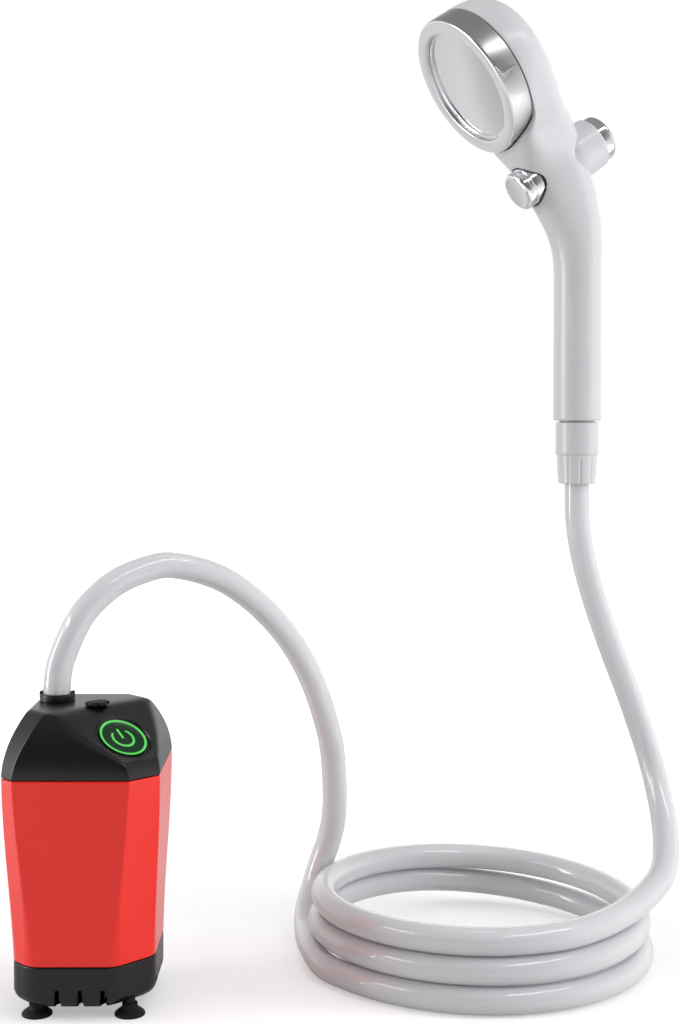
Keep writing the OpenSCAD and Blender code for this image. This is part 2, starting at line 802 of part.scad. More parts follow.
boss_end = neck_back + boss_out - seat_gap;
inlet_bore = 8;
collar_gap_h = 0.6;
shoulder_w = 0.8;
shoulder_d = stub_d + 2 * shoulder_w;
cavity_r = 30;
cavity_h = 14;
well_floor = knob_front - knob_l - valve_travel - seat_gap;
outlet_shift = -4;
bezel_gap = 0.5;

module handset_body() {
    color("white") difference() {
        union() {
            at_handset() loft(concat(
                [handle_section(0, handle_r - foot_round), handle_section(foot_round, handle_r),
                    handle_section(handle_l - swell_l, handle_r)],
                [for (t = steps(0, 1, bend_steps)) bend_section(t)],
                [for (t = steps(-neck_l, -head_r, 5)) if (t > -neck_l) head_section(t)],
                [for (a = [-78, -66, -54, -42, -30, -18, -6, 6, 18, 30, 42, 54, 64, 73, 80, 85, 88])
                    head_section(head_r * sin(a))]));
            at_valve() rod(boss_d, -boss_end, 0);
            at_handset() rod(shoulder_d, -collar_gap_h, fuse);
            at_handset() rod(stub_d, -stub_l, 0);
        }
        at_handset() rod(inlet_bore, -stub_l - cut_over, valve_at.z);
        at_valve() {
            rod(valve_bore, -boss_end - cut_over, neck_front + cut_over);
            rod(knob_well_d, well_floor, knob_front);
            translate([0, 0, outlet_shift]) rotate([0, -quarter, 0])
                rod(inlet_bore, 0, neck_l - cavity_r + cut_over);
        }
        at_face() {
            rod(2 * cavity_r, -cavity_h, cut_over);
            rod(head_d + 2 * bezel_gap, run_gap, bezel_depth + knob_out);
        }
    }
}

// Rotating spray head, from the seam outwards
hub_r = 27.6;
hub_t = 3;
hub_foot_w = 1.6;
hub_foot_h = 3;
hub_z = -cavity_h + hub_foot_h;
port_count = 6;
port_d = 5;
port_mid_r = 16;
flow_z = 1;
flow_t = 2.4;
plate_t = 2.5;
plate_sink = 2.2;
plate_seat = 2.5;
nozzle_d = 1.2;
nozzle_rings = [[10, 8], [17, 14], [24, 20]];
screw_flange_rim = 2.5;
screw_flange_d = post_d + 2 * screw_flange_rim;
screw_flange_t = 1.4;
screw_shank_d = 3.6;
screw_depth = 8;
bezel_chamfer = 1.3;
bezel_inner = head_r - bezel_wall;
lip_r = head_r - bezel_lip;
plate_r = lip_r + plate_seat;
plate_top = bezel_depth - plate_sink;
post_top = flow_z + flow_t + seat_gap;

module mode_hub() {
    color("#d8dadc") at_face() difference() {
        union() {
            rod(2 * hub_r, hub_z, hub_z + hub_t);
            tube(2 * hub_r, 2 * (hub_r - hub_foot_w), -cavity_h, hub_z + fuse);
            rod(post_d, hub_z, post_top);
        }
        for (i = [0:port_count - 1]) rotate(i * 360 / port_count) translate([port_mid_r, 0, 0])
            rod(port_d, hub_z - cut_over, hub_z + hub_t + cut_over);
        rod(screw_shank_d + slip_gap, post_top - screw_depth - fuse, post_top + cut_over);
    }
}

module head_seal() {
    wire_r = (cavity_r - hub_r) / 2 - run_gap;
    color("#2b2b2d") at_face() translate([0, 0, hub_z + hub_t / 2]) o_ring((cavity_r + hub_r) / 2, wire_r);
}

module centre_screw() {
    color("silver") at_face() {
        rod(screw_flange_d, post_top, post_top + screw_flange_t);
        rod(screw_shank_d, post_top - screw_depth, post_top + fuse);
    }
}

module flow_disc() {
    color("#d8dadc") at_face() difference() {
        tube(2 * (bezel_inner - slip_gap), post_d + 2 * run_gap, flow_z, flow_z + flow_t);
        for (i = [0:port_count - 1]) rotate(i * 360 / port_count) translate([port_mid_r, 0, 0])
            rod(port_d - 1, flow_z - cut_over, flow_z + flow_t + cut_over);
    }
}

// Thumb wedge: low at the seam, high at the front edge
module wedge() {
    r = sqrt(head_r * head_r - wedge_w * wedge_w / 4) - fuse;
    low = 2 * bezel_gap;
    high = bezel_depth - bezel_chamfer;
    polyhedron(points = [[-wedge_w / 2, r, high], [wedge_w / 2, r, high], [0, r, low],
            [wedge_w / 6, head_r + wedge_h, high], [wedge_w / 6, head_r + fuse / 2, low + fuse]],
        faces = [[0, 1, 2], [0, 3, 1], [1, 3, 4], [1, 4, 2], [0, 2, 4], [0, 4, 3]]);
}

module spray_bezel() {
    c = bezel_chamfer;
    color("#c9cbce") at_face() union() {
        rotate_extrude() polygon([[bezel_inner, bezel_gap], [head_r, bezel_gap],
            [head_r, bezel_depth - c], [head_r - c, bezel_depth], [lip_r + c, bezel_depth],
            [lip_r, bezel_depth - c], [lip_r, plate_top], [plate_r, plate_top],
            [plate_r, plate_top - plate_t], [bezel_inner, plate_top - plate_t]]);
        wedge();
    }
}

module spray_plate() {
    color("#b9bcc0") at_face() difference() {
        rod(2 * (plate_r - slip_gap), plate_top - plate_t, plate_top);
        for (ring = nozzle_rings) for (i = [0:ring[1] - 1]) rotate(i * 360 / ring[1])
            translate([ring[0], 0, 0]) rod(nozzle_d, plate_top - plate_t - cut_over, plate_top + cut_over);
    }
}

// Push-through valve, along its axis from the rear cap to the front button
spool_d = valve_bore - 2 * run_gap;
waist_d = 7;
waist_z = [-16, -2];
seal_wire = 1;
seal_z = [-18.4, 0.1];
groove_d = spool_d - 4 * seal_wire;
knob_step = 2.4;
knob_rim = 1.7;
knob_head_l = 12;
knob_inner_d = knob_d - 2 * knob_rim;
knob_back = knob_front - knob_l;
cap_round = 1;

module valve_spool() {
    color("#8f9296") at_valve() difference() {
        rod(spool_d, -boss_end - seat_gap, knob_back);
        tube(2 * spool_d, waist_d, waist_z[0], waist_z[1]);
        for (z = seal_z) tube(2 * spool_d, groove_d, z - seal_wire - run_gap, z + seal_wire + run_gap);
    }
}

module spool_seals() {
    color("#2b2b2d") at_valve() for (z = seal_z) translate([0, 0, z])
        o_ring(groove_d / 2 + seal_wire + run_gap / 2, seal_wire);
}

module front_button() {
    color("#d0d3d6") at_valve() rotate_extrude() polygon([[0, knob_back], [knob_inner_d / 2, knob_back],
        [knob_inner_d / 2, knob_front - knob_head_l], [knob_d / 2, knob_front - knob_head_l],
        [knob_d / 2, knob_front - knob_step], [knob_d / 2 - cap_round, knob_front - cap_round],
        [knob_inner_d / 2, knob_front], [0, knob_front]]);
}

module rear_cap() {
    z = -boss_end - seat_gap;
    r = rear_cap_d / 2;
    color("#d0d3d6") at_valve() rotate_extrude() polygon([[0, z], [r, z], [r, z - rear_cap_t + cap_round],
        [r - cap_round, z - rear_cap_t], [0, z - rear_cap_t]]);
}

// Coupling below the handle
nut_top = -collar_gap_h - seat_gap;
nut_step = nut_top - nut_top_l;
nut_end = nut_step - nut_low_l;
washer_t = 2;
washer_bore = 9;
flange_t = 3.2;
ferrule_l = 3.3;
tail_bore = 7;
flange_z = -stub_l - washer_t - flange_t;
hose_end = flange_z - ferrule_l;
nut_ribs = 10;
nut_rib_w = 1.6;
nut_edge = 1;

module coupling_nut() {
    r = nut_d / 2;
    q = nut_low_d / 2;
    color("white") at_handset() difference() {
        rotate_extrude() polygon([[0, nut_end], [q - nut_edge, nut_end], [q, nut_end + nut_edge],
            [q, nut_step], [r, nut_step + nut_edge], [r, nut_top - nut_edge],
            [r - nut_edge, nut_top], [0, nut_top]]);
        rod(shoulder_d + 2 * seat_gap, nut_top - stub_l, nut_top + cut_over);
        rod(stub_d + 2 * seat_gap, flange_z - seat_gap, nut_top);
        rod(hose_d + 2 * seat_gap, nut_end - cut_over, nut_top);
        for (i = [0:nut_ribs - 1]) rotate(i * 360 / nut_ribs) translate([q + nut_rib_w / 4, 0, 0])
            rod(nut_rib_w, nut_end - cut_over, nut_step - nut_edge);
    }
}

module nut_washer() {
    color("#2b2b2d") at_handset() tube(stub_d, washer_bore, flange_z + flange_t, -stub_l);
}

module hose_tail() {
    color("#d8dadc") at_handset() difference() {
        union() {
            rod(stub_d, flange_z, flange_z + flange_t);
            rod(hose_d, hose_end, flange_z + fuse);
        }
        rod(tail_bore, hose_end - cut_over, flange_z + flange_t + cut_over);
    }
}

// Hose route: chosen points over the arch, turns of the coil by rule, chosen points up to the nut
hose_r = hose_d / 2;
hose_sides = 10;
span_steps = 2;
coil_mid = [74, 17];
coil_start = 204;
coil_end = 1020;
coil_step = 12;
coil_climb_from = 248;
coil_climb_wave = 0.8;
coil_flat_to = 340;
coil_climbed = 480;
coil_entry_angle = 250;
coil_entry_spread = 4.6;
coil_entry_turn = 50;
outlet_at = [pump_at.x + outlet_reach * cos(outlet_turn), pump_at.y + outlet_reach * sin(outlet_turn)];
arch_stem = 8;
arch_points = [[outlet_at.x, outlet_at.y, deck_z + 2 * slip_gap],
    [outlet_at.x, outlet_at.y, deck_z + arch_stem],
    [-128.4, -33, 159], [-120.2, -28, 177.7], [-108.2, -19.5, 190.7], [-94.5, -9.5, 197.5],
    [-78.5, 1, 199.5],
    [-53.5, 15, 190], [-30.5, 30, 168.5], [-13.5, 42, 141], [-2.5, 51, 107], [0.5, 56.5, 82],
    [0.5, 59.5, 61], [-2, 62, 47], [-6, 63, 35], [-10, 60.5, 23], [-13.4, 50, 13], [-13.6, 33, 7.3],
    [-10.6, 8.2, 6.6]];
rise_points = [[129.1, -38.1, 34.9], [144, -21.5, 36.2], [157.2, -5.5, 39.6], [166, 7.5, 45.2],
    [170.2, 21.5, 55], [171, 38, 71], [167.5, 51, 93],
    [158.5, 57, 122], [149.5, 58, 146], [141, 58, 170], [134, 58, 194], [130.1, 58, 216],
    [handset_at.x, 58, 235], [handset_at.x, 58, handset_at.z + hose_end - slip_gap]];

// Smooth curve through chosen points
function point_at(p, i) = i < 0 ? 2 * p[0] - p[1] :
    i >= len(p) ? 2 * p[len(p) - 1] - p[len(p) - 2] : p[i];
function spline(p, i, t) =
    let (a = point_at(p, i - 1), b = point_at(p, i), c = point_at(p, i + 1), d = point_at(p, i + 2))
    0.5 * (2 * b + (c - a) * t + (2 * a - 5 * b + 4 * c - d) * t * t + (3 * b - a - 3 * c + d) * t * t * t);
function smooth_route(p) =
    [for (i = [0:len(p) - 2]) for (k = [0:span_steps - 1]) spline(p, i, k / span_steps)];

// A turn of the coil: its radius shrinks with the angle, the first turn lies flat and the rest climb
function coil_radius(a) = coil_r - coil_taper * max(0, a - coil_entry_angle) / 360
    + coil_entry_spread * pow(max(0, coil_entry_angle - a) / coil_entry_turn, 2);
function coil_height(a) = let (turns = (a - coil_climb_from) / 360)
    hose_r + coil_pitch * max(0, turns - coil_climb_wave * sin(360 * turns) / (2 * PI))
    * ease((a - coil_flat_to) / (coil_climbed - coil_flat_to));
function coil_point(a) = [coil_mid.x + coil_radius(a) * cos(a), coil_mid.y + coil_radius(a) * sin(a),
    coil_height(a)];
coil_points = [for (a = [coil_start:coil_step:coil_end]) coil_point(a)];
arch_route = smooth_route(concat(arch_points, [coil_points[0], coil_points[1]]));
rise_route = smooth_route(concat([coil_points[len(coil_points) - 1]], rise_points));
arch_count = (len(arch_points)) * span_steps;
route = concat([for (i = [0:arch_count - 1]) arch_route[i]], coil_points,
    [for (i = [1:len(rise_route) - 1]) rise_route[i]], [rise_points[len(rise_points) - 1]]);
coil_first = arch_count;
coil_last = arch_count + len(coil_points) - 1;

// Frames carried along the route without twist, and a ring of the hose at each
function heading(i) = unit(point_at(route, i + 1) - point_at(route, i - 1));
function carried(v, t) = unit(v - (v * t) * t);
side_dirs = [for (i = 0, v = carried([0, 1, 0], heading(0)); i < len(route);
    i = i + 1, v = i < len(route) ? carried(v, heading(i)) : v) v];
function hose_ring(i) = let (t = heading(i), u = side_dirs[i], w = cross(t, u))
    [for (k = [0:hose_sides - 1]) let (q = k * 360 / hose_sides)
        route[i] + hose_r * (cos(q) * u + sin(q) * w)];

module hose_stretch(from, to) {
    color("#dfe3e6") loft([for (i = [from:to]) hose_ring(i)]);
}

module hose_arch() {
    hose_stretch(0, coil_first);
}

module hose_coil() {
    hose_stretch(coil_first, coil_last);
}

module hose_rise() {
    hose_stretch(coil_last, len(route) - 1);
}

// Length of the hose, and the least gap between stretches that lie side by side
near_skip = 8;
hose_length = [for (i = 0, l = 0; i < len(route); i = i + 1,
    l = l + (i < len(route) ? norm(route[i] - route[i - 1]) : 0)) l][len(route) - 1];
hose_gap = min([for (i = [0:len(route) - 1]) for (j = [i + near_skip:1:len(route) - 1])
    norm(route[i] - route[j])]) - hose_d;
echo(hose_length = hose_length, hose_gap = hose_gap);  // hose_coil

body_shell();
top_cap();
base_cover();
cap_seal();
base_screws();
suction_foot(0);  // suction_foot_1
suction_foot(1);  // suction_foot_2
suction_foot(2);  // suction_foot_3
suction_foot(3);  // suction_foot_4
filter_cup();
volute_housing();
volute_cover();
impeller();
motor_shaft();
shaft_seal();
motor_can();
motor_end_cap();
cell_cradle();
battery_cells();
cell_link();
outlet_riser();
outlet_collar();
button_frame();
power_button();
button_light();
tact_switch();
control_board();
charge_socket();
port_plug();
handset_body();
mode_hub();
head_seal();
flow_disc();
centre_screw();
spray_bezel();
spray_plate();
valve_spool();
spool_seals();
front_button();
rear_cap();
coupling_nut();
nut_washer();
hose_tail();
hose_arch();
hose_coil();
hose_rise();
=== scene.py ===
"""Dress the battery camp shower: faceted pump, coiled clear hose and hand shower. Metres, +Z up."""

import json
import logging
import math
from dataclasses import dataclass, replace
from enum import Enum

import bmesh
import bpy
import numpy as np
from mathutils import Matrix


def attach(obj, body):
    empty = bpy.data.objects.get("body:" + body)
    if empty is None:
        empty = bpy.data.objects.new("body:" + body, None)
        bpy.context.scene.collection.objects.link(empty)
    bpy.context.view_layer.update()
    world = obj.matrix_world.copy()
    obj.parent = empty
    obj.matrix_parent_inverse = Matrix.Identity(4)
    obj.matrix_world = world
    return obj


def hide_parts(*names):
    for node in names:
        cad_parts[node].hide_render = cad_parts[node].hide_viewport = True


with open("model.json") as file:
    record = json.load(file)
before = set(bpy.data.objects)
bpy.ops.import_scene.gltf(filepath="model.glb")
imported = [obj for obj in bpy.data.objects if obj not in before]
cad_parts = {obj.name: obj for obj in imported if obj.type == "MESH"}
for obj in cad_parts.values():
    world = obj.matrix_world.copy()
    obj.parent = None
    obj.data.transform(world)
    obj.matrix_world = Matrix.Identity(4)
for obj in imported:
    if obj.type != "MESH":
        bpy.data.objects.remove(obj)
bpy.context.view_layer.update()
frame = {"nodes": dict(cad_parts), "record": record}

LOG = logging.getLogger("camp_shower")
Array = np.ndarray
Piece = bpy.types.Object
Socket = bpy.types.NodeSocket
Pair = tuple[float, float]
Triple = tuple[float, float, float]
SHARP_ANGLE = math.radians(38)
CRISP_MOULDING = math.radians(50)
CRISP_SEAT = math.radians(55)
WELD = 2e-7
PATCH_SCALE, PATCH_DETAIL = 26.0, 3.0
GRAIN_DETAIL, GRAIN_HEIGHT = 2.0, 0.0002
GLOSS_DRIFT = 0.15
BLOOM_ROUGH = 0.4
HOSE_IOR, HOSE_MILK, HOSE_DEPTH = 1.42, 0.7, 0.01
# Numbers of the Mix node's sockets, whose names repeat: for colours, then for plain levels
COLOUR_A, COLOUR_B, COLOUR_OUT = 6, 7, 2
LEVEL_A, LEVEL_B = 2, 3
IMAGE_H = 1024


def ease(t: Array | float) -> Array:
    """Smooth step: 3t^2 - 2t^3 with t held between 0 and 1."""
    c = np.clip(t, 0.0, 1.0)
    return c * c * (3 - 2 * c)


def unit(v: Array) -> Array:
    """Vectors of length one, along the last axis."""
    return v / np.maximum(np.linalg.norm(v, axis=-1, keepdims=True), 1e-12)


def mix(a: Array | float, b: Array | float, t: Array | float) -> Array:
    """Straight blend from a to b."""
    return a + (b - a) * t


def signed_power(s: Array, p: Array | float) -> Array:
    """Power that keeps the sign, which squares off a round section."""
    return np.sign(s) * np.abs(s) ** p


def circle(angle: Array) -> Array:
    """Points of a circle of radius one."""
    return np.stack([np.cos(angle), np.sin(angle)], -1)


def off_axis(points: Array) -> Array:
    """Distance of local points from their +Z axis."""
    return np.hypot(points[..., 0], points[..., 1])


def quarter(r: float, rows: int) -> tuple[Array, Array]:
    """Rise r (1 - cos q) and inset r (1 - sin q) of a rounded edge, with q over a quarter turn."""
    q = np.linspace(0, math.pi / 2, rows)
    return r * (1 - np.cos(q)), r * (1 - np.sin(q))


@dataclass(frozen=True)
class Place:
    """A right-handed frame: an origin and three axes."""

    origin: Array
    x: Array
    y: Array
    z: Array

    def put(self, points: Array) -> Array:
        """Carry local points, in the last axis, into the shared frame."""
        return self.origin + points @ np.stack([self.x, self.y, self.z])

    def measure(self, points: Array) -> Array:
        """Local coordinates of points of the shared frame."""
        return (points - self.origin) @ np.stack([self.x, self.y, self.z]).T

    def moved(self, x: float, y: float, z: float) -> "Place":
        """The same frame with its origin moved along its own axes."""
        return Place(self.put(np.array([x, y, z])), self.x, self.y, self.z)


def turned(origin: Array | Triple, azimuth: float, lean: float) -> Place:
    """Frame turned about the upright axis by azimuth, then leaned over towards its own +X.

    Args:
        origin: place of the frame in the shared one.
        azimuth: turn about +Z, in degrees.
        lean: lean of +Z towards +X, in degrees.

    Returns:
        The frame.
    """
    a, b = math.radians(azimuth), math.radians(lean)
    ahead = np.array([math.cos(a), math.sin(a), 0.0])
    up = np.array([0.0, 0.0, 1.0])
    side = np.array([-math.sin(a), math.cos(a), 0.0])
    return Place(np.asarray(origin, float), math.cos(b) * ahead - math.sin(b) * up, side,
                 math.sin(b) * ahead + math.cos(b) * up)


PUMP = turned((-0.114, -0.042, 0.0), 0.0, 0.0)
DECK_Z = 0.139
CORNER_TURN = -45.0
FACET_TILT, FACET_REACH, FACET_DROP = 56.0, 0.026, 0.012
PORT_REACH = 0.006
OUTLET_TURN, OUTLET_REACH = 154.0, 0.0184
HANDLE_TURN = 200.5


def on_pump(azimuth: float, reach: float, z: float) -> Array:
    """Point at that reach from the pump's axis, along azimuth and at height z."""
    return turned(PUMP.origin, azimuth, 0.0).put(np.array([reach, 0.0, z]))


FACET = turned(on_pump(CORNER_TURN, FACET_REACH, DECK_Z - FACET_DROP), CORNER_TURN, 90 - FACET_TILT)
PORT = turned(on_pump(CORNER_TURN, PORT_REACH, DECK_Z), CORNER_TURN, 0.0)
OUTLET = turned(on_pump(OUTLET_TURN, OUTLET_REACH, DECK_Z), 0.0, 0.0)
HANDLE = turned((0.1295, 0.058, 0.271), HANDLE_TURN, 0.0)


def grid_faces(rows: int, columns: int, wrap_rows: bool) -> Array:
    """Quads of a grid whose columns close on themselves.

    Args:
        rows: number of rows.
        columns: number of columns.
        wrap_rows: whether the last row joins the first.

    Returns:
        Corner numbers of each quad, counter-clockwise from outside when rows rise and columns turn left.
    """
    i = np.arange(rows if wrap_rows else rows - 1)[:, None]
    j = np.arange(columns)[None, :]
    up, right = (i + 1) % rows, (j + 1) % columns
    corners = [i * columns + j, i * columns + right, up * columns + right, up * columns + j]
    return np.stack(np.broadcast_arrays(*corners), -1).reshape(-1, 4)


def make_piece(name: str, points: Array, faces: Array, finish: "Finish", sharp: float = SHARP_ANGLE) -> Piece:
    """Put points and faces into a welded, smoothly shaded mesh object at the origin.

    Args:
        name: name of the piece.
        points: corner points in the shared frame.
        faces: corner numbers of each face.
        finish: finish that gives the material.
        sharp: angle above which an edge stays crisp.

    Returns:
        The new object.
    """
    mesh = bpy.data.meshes.new(name)
    mesh.from_pydata(points.reshape(-1, 3).tolist(), [], faces.tolist())
    work = bmesh.new()
    work.from_mesh(mesh)
    bmesh.ops.remove_doubles(work, verts=work.verts, dist=WELD)
    bmesh.ops.dissolve_degenerate(work, edges=work.edges, dist=WELD)
    work.to_mesh(mesh)
    work.free()
    mesh.polygons.foreach_set("use_smooth", np.ones(len(mesh.polygons), bool))
    mesh.set_sharp_from_angle(angle=sharp)
    piece = bpy.data.objects.new(name, mesh)
    bpy.context.scene.collection.objects.link(piece)
    mesh.materials.append(finish.material())
    return piece


def grid_piece(name: str, grid: Array, finish: "Finish", wrap_rows: bool = False,
               sharp: float = SHARP_ANGLE) -> Piece:
    """A piece from a grid of points whose columns close on themselves."""
    return make_piece(name, grid, grid_faces(grid.shape[0], grid.shape[1], wrap_rows), finish, sharp)


def grids_piece(name: str, grids: list[Array] | Array, finish: "Finish") -> Piece:
    """One piece from several open grids whose columns close on themselves.

    Args:
        name: name of the piece.
        grids: grids of points.
        finish: finish of the piece.

    Returns:
        The new object.
    """
    starts = np.cumsum([0] + [grid[..., 0].size for grid in grids])
    faces = [grid_faces(*grid.shape[:2], False) + start for grid, start in zip(grids, starts)]
    return make_piece(name, np.concatenate([grid.reshape(-1, 3) for grid in grids]), np.concatenate(faces), finish)


def settle(piece: Piece, body: str, *nodes: str) -> Piece:
    """Let a piece ride a body and stand for solids of the part.

    Args:
        piece: the piece.
        body: body that carries it.
        nodes: solids that it stands for, if any.

    Returns:
        The same piece.
    """
    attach(piece, body)
    if nodes:
        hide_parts(*nodes)
    return piece


def face_values(piece: Piece, what: str) -> Array:
    """Centre or normal of each face of a piece.

    Args:
        piece: the piece.
        what: center or normal, as Blender names them.

    Returns:
        One row for each face.
    """
    values = np.empty(3 * len(piece.data.polygons), np.float32)
    piece.data.polygons.foreach_get(what, values)
    return values.reshape(-1, 3)


def paint(piece: Piece, finish: "Finish", chosen: Array) -> Piece:
    """Give the chosen faces of a piece a second finish.

    Args:
        piece: the piece.
        finish: the second finish.
        chosen: True for each face that gets it.

    Returns:
        The same piece.
    """
    piece.data.materials.append(finish.material())
    piece.data.polygons.foreach_set("material_index", chosen.astype(np.int32))
    return piece


def corner_curves(at: Array, reach: Array, steps: int) -> tuple[Array, Array, Array]:
    """Round the corners of closed outlines.

    A curve begins at its reach before the corner and ends as far after it. With t from 0 to 1, it is the sum of
    (1 - t)^2 times its beginning, 2 t (1 - t) times the corner and t^2 times its end.

    Args:
        at: corners of each outline, in the last axis but one.
        reach: how far from its corner each curve begins and ends.
        steps: steps in each curve.

    Returns:
        Beginnings, ends and points of the curves.
    """
    before = at + reach * unit(np.roll(at, 1, -2) - at)
    after = at + reach * unit(np.roll(at, -1, -2) - at)
    t = np.linspace(0, 1, steps + 1)[:, None]
    curve = (1 - t) ** 2 * before[..., None, :] + 2 * t * (1 - t) * at[..., None, :] + t ** 2 * after[..., None, :]
    return before, after, curve


def rounded(corners: list[Triple], steps: int = 6) -> Array:
    """Profile whose corners are rounded between their two edges.

    Args:
        corners: radius, height and rounding of each corner, in order.
        steps: steps in each rounding.

    Returns:
        Radius and height of each point of the profile.
    """
    values = np.array(corners, float)
    return corner_curves(values[:, :2], values[:, 2:], steps)[2].reshape(-1, 2)


def revolve(profile: Array, place: Place, columns: int = 96) -> Array:
    """Turn a profile of radius and height about a frame's +Z axis.

    Args:
        profile: radius and height of each point.
        place: frame that it turns in.
        columns: steps of the turn.

    Returns:
        Grid of points, one row for each point of the profile.
    """
    angle = np.linspace(0, 2 * math.pi, columns, endpoint=False)
    ring = np.stack([np.cos(angle), np.sin(angle), np.zeros(columns)], -1)
    height = np.array([0.0, 0.0, 1.0])
    return place.put(profile[:, :1, None] * ring + profile[:, 1:2, None] * height)


@dataclass(frozen=True)
class Wiring:
    """A node tree, with the few ways in which finishes and studio add linked nodes to it."""

    tree: bpy.types.NodeTree

    def add(self, kind: str) -> bpy.types.Node:
        """A new shader node of that kind."""
        return self.tree.nodes.new("ShaderNode" + kind)

    def join(self, start: Socket, end: Socket) -> None:
        """Link an output to an input."""
        self.tree.links.new(start, end)

    def noise(self, where: Socket, scale: float, detail: float) -> Socket:
        """A noise of that scale on the given coordinates.

        Args:
            where: coordinates that it reads.
            scale: its scale.
            detail: its detail.

        Returns:
            The noise's value.
        """
        node = self.add("TexNoise")
        node.inputs["Scale"].default_value = scale
        node.inputs["Detail"].default_value = detail
        self.join(where, node.inputs["Vector"])
        return node.outputs["Fac"]

    def eased(self, value: Socket, span: Pair, to: Pair) -> Socket:
        """A value carried from one span to another with a smooth step.

        Args:
            value: the value.
            span: span that it is carried from.
            to: span that it is carried to.

        Returns:
            The new value.
        """
        node = self.add("MapRange")
        node.interpolation_type = "SMOOTHSTEP"
        node.inputs["From Min"].default_value, node.inputs["From Max"].default_value = span
        node.inputs["To Min"].default_value, node.inputs["To Max"].default_value = to
        self.join(value, node.inputs["Value"])
        return node.outputs["Result"]

    def combine(self, operation: str, a: Socket, b: Socket | float) -> Socket:
        """Two values put together by one operation.

        Args:
            operation: Blender's name of the operation.
            a: first value.
            b: second value, linked or plain.

        Returns:
            The result.
        """
        node = self.add("Math")
        node.operation = operation
        self.join(a, node.inputs[0])
        if isinstance(b, float):
            node.inputs[1].default_value = b
        else:
            self.join(b, node.inputs[1])
        return node.outputs[0]


class Surface(Enum):
    """Kinds of surface that the finishes are made from."""

    PLASTIC = "plastic"
    METAL = "metal"
    RUBBER = "rubber"
    LIGHT = "light"
    HOSE = "hose"


@dataclass(frozen=True)
class Finish:
    """One finish: its colour, its gloss and the fine texture of its surface."""

    name: str
    slot: str
    surface: Surface
    colour: Triple
    roughness: float
    grain: float = 900.0
    bump: float = 0.02
    patch: float = 0.06
    coat: float = 0.0
    coat_rough: float = 0.08
    glow: float = 0.0
    shine: float = 0.5
    bloom: float = 0.0

    def material(self) -> bpy.types.Material:
        """The finish's material, made on its first use."""
        found = bpy.data.materials.get(self.name)
        return found if found else self._build()

    def _build(self) -> bpy.types.Material:
        """Make the nodes: the colour drifts in soft patches, and a fine grain changes gloss and surface.

        Returns:
            The new material.
        """
        material = bpy.data.materials.new(self.name)
        material.use_nodes = True
        wire = Wiring(material.node_tree)
        shader = material.node_tree.nodes["Principled BSDF"]
        where = wire.add("TexCoord").outputs["Object"]
        patches = wire.noise(where, PATCH_SCALE, PATCH_DETAIL)
        grain = wire.noise(where, self.grain, GRAIN_DETAIL)
        tone = wire.add("Mix")
        tone.data_type = "RGBA"
        tone.inputs[COLOUR_A].default_value = (*[c * (1 - self.patch) for c in self.colour], 1.0)
        tone.inputs[COLOUR_B].default_value = (*[min(1.0, c * (1 + self.patch)) for c in self.colour], 1.0)
        wire.join(patches, tone.inputs[0])
        wire.join(tone.outputs[COLOUR_OUT], shader.inputs["Base Color"])
        gloss = wire.add("MapRange")
        gloss.inputs["To Min"].default_value = self.roughness * (1 - GLOSS_DRIFT)
        gloss.inputs["To Max"].default_value = min(1.0, self.roughness * (1 + GLOSS_DRIFT))
        wire.join(grain, gloss.inputs["Value"])
        wire.join(gloss.outputs["Result"], shader.inputs["Roughness"])
        bump = wire.add("Bump")
        bump.inputs["Strength"].default_value = self.bump
        bump.inputs["Distance"].default_value = GRAIN_HEIGHT
        wire.join(grain, bump.inputs["Height"])
        wire.join(bump.outputs["Normal"], shader.inputs["Normal"])
        self._dress(shader)
        return material

    def _dress(self, shader: bpy.types.Node) -> None:
        """Set the sockets that are the same all over the surface.

        Args:
            shader: the material's main shader.
        """
        sockets = {"Specular IOR Level": self.shine, "Coat Weight": self.coat, "Coat Roughness": self.coat_rough,
                   "Sheen Weight": self.bloom, "Sheen Roughness": BLOOM_ROUGH}
        if self.surface is Surface.METAL:
            sockets["Metallic"] = 1.0
        elif self.surface is Surface.LIGHT:
            sockets |= {"Emission Color": (*self.colour, 1.0), "Emission Strength": self.glow}
        elif self.surface is Surface.HOSE:
            sockets |= {"IOR": HOSE_IOR, "Subsurface Weight": HOSE_MILK,
                        "Subsurface Radius": (1.0, 1.0, 1.0), "Subsurface Scale": HOSE_DEPTH}
        for socket, value in sockets.items():
            shader.inputs[socket].default_value = value


RED = Finish("red_shell_satin", "red_plastic", Surface.PLASTIC, (0.92, 0.013, 0.003), 0.32, shine=0.2, coat=0.9,
             coat_rough=0.28)
BLACK = Finish("black_cap_satin", "black_plastic", Surface.PLASTIC, (0.0040, 0.0038, 0.0039), 0.30, bump=0.05)
# Near-black matt finish for the notches' faces: painted shade, darker than the black base, where the slots fall into
# shadow.
NOTCH_PAINTED_SHADE = Finish("notch_painted_shade", "black_plastic", Surface.PLASTIC, (0.0015, 0.0015, 0.0015), 0.9, shine=0.0)
DARK = Finish("dark_moulding", "dark_plastic", Surface.PLASTIC, (0.035, 0.035, 0.037), 0.5)
WHITE = Finish("white_gloss_moulding", "white_gloss", Surface.PLASTIC, (0.62, 0.623, 0.645), 0.32, bump=0.01,
               patch=0.015, coat=0.15)
PALE = Finish("pale_moulding", "pale_plastic", Surface.PLASTIC, (0.66, 0.67, 0.68), 0.45)
CHROME = Finish("polished_chrome", "chrome", Surface.METAL, (0.80, 0.81, 0.83), 0.07, bump=0.004, patch=0.02)
SATIN = Finish("satin_chrome", "chrome", Surface.METAL, (0.60, 0.602, 0.61), 0.30, bump=0.008, patch=0.03)
# Lighter, smoother chrome for the bezel's front faces: painted light, as the front takes more light than the rim.
CHROME_PAINTED_LIGHT = Finish("chrome_painted_light", "chrome", Surface.METAL, (0.80, 0.805, 0.82), 0.15, grain=4000.0, bump=0.002,
                patch=0.02)
STEEL = Finish("plain_steel", "steel", Surface.METAL, (0.5, 0.5, 0.52), 0.35)
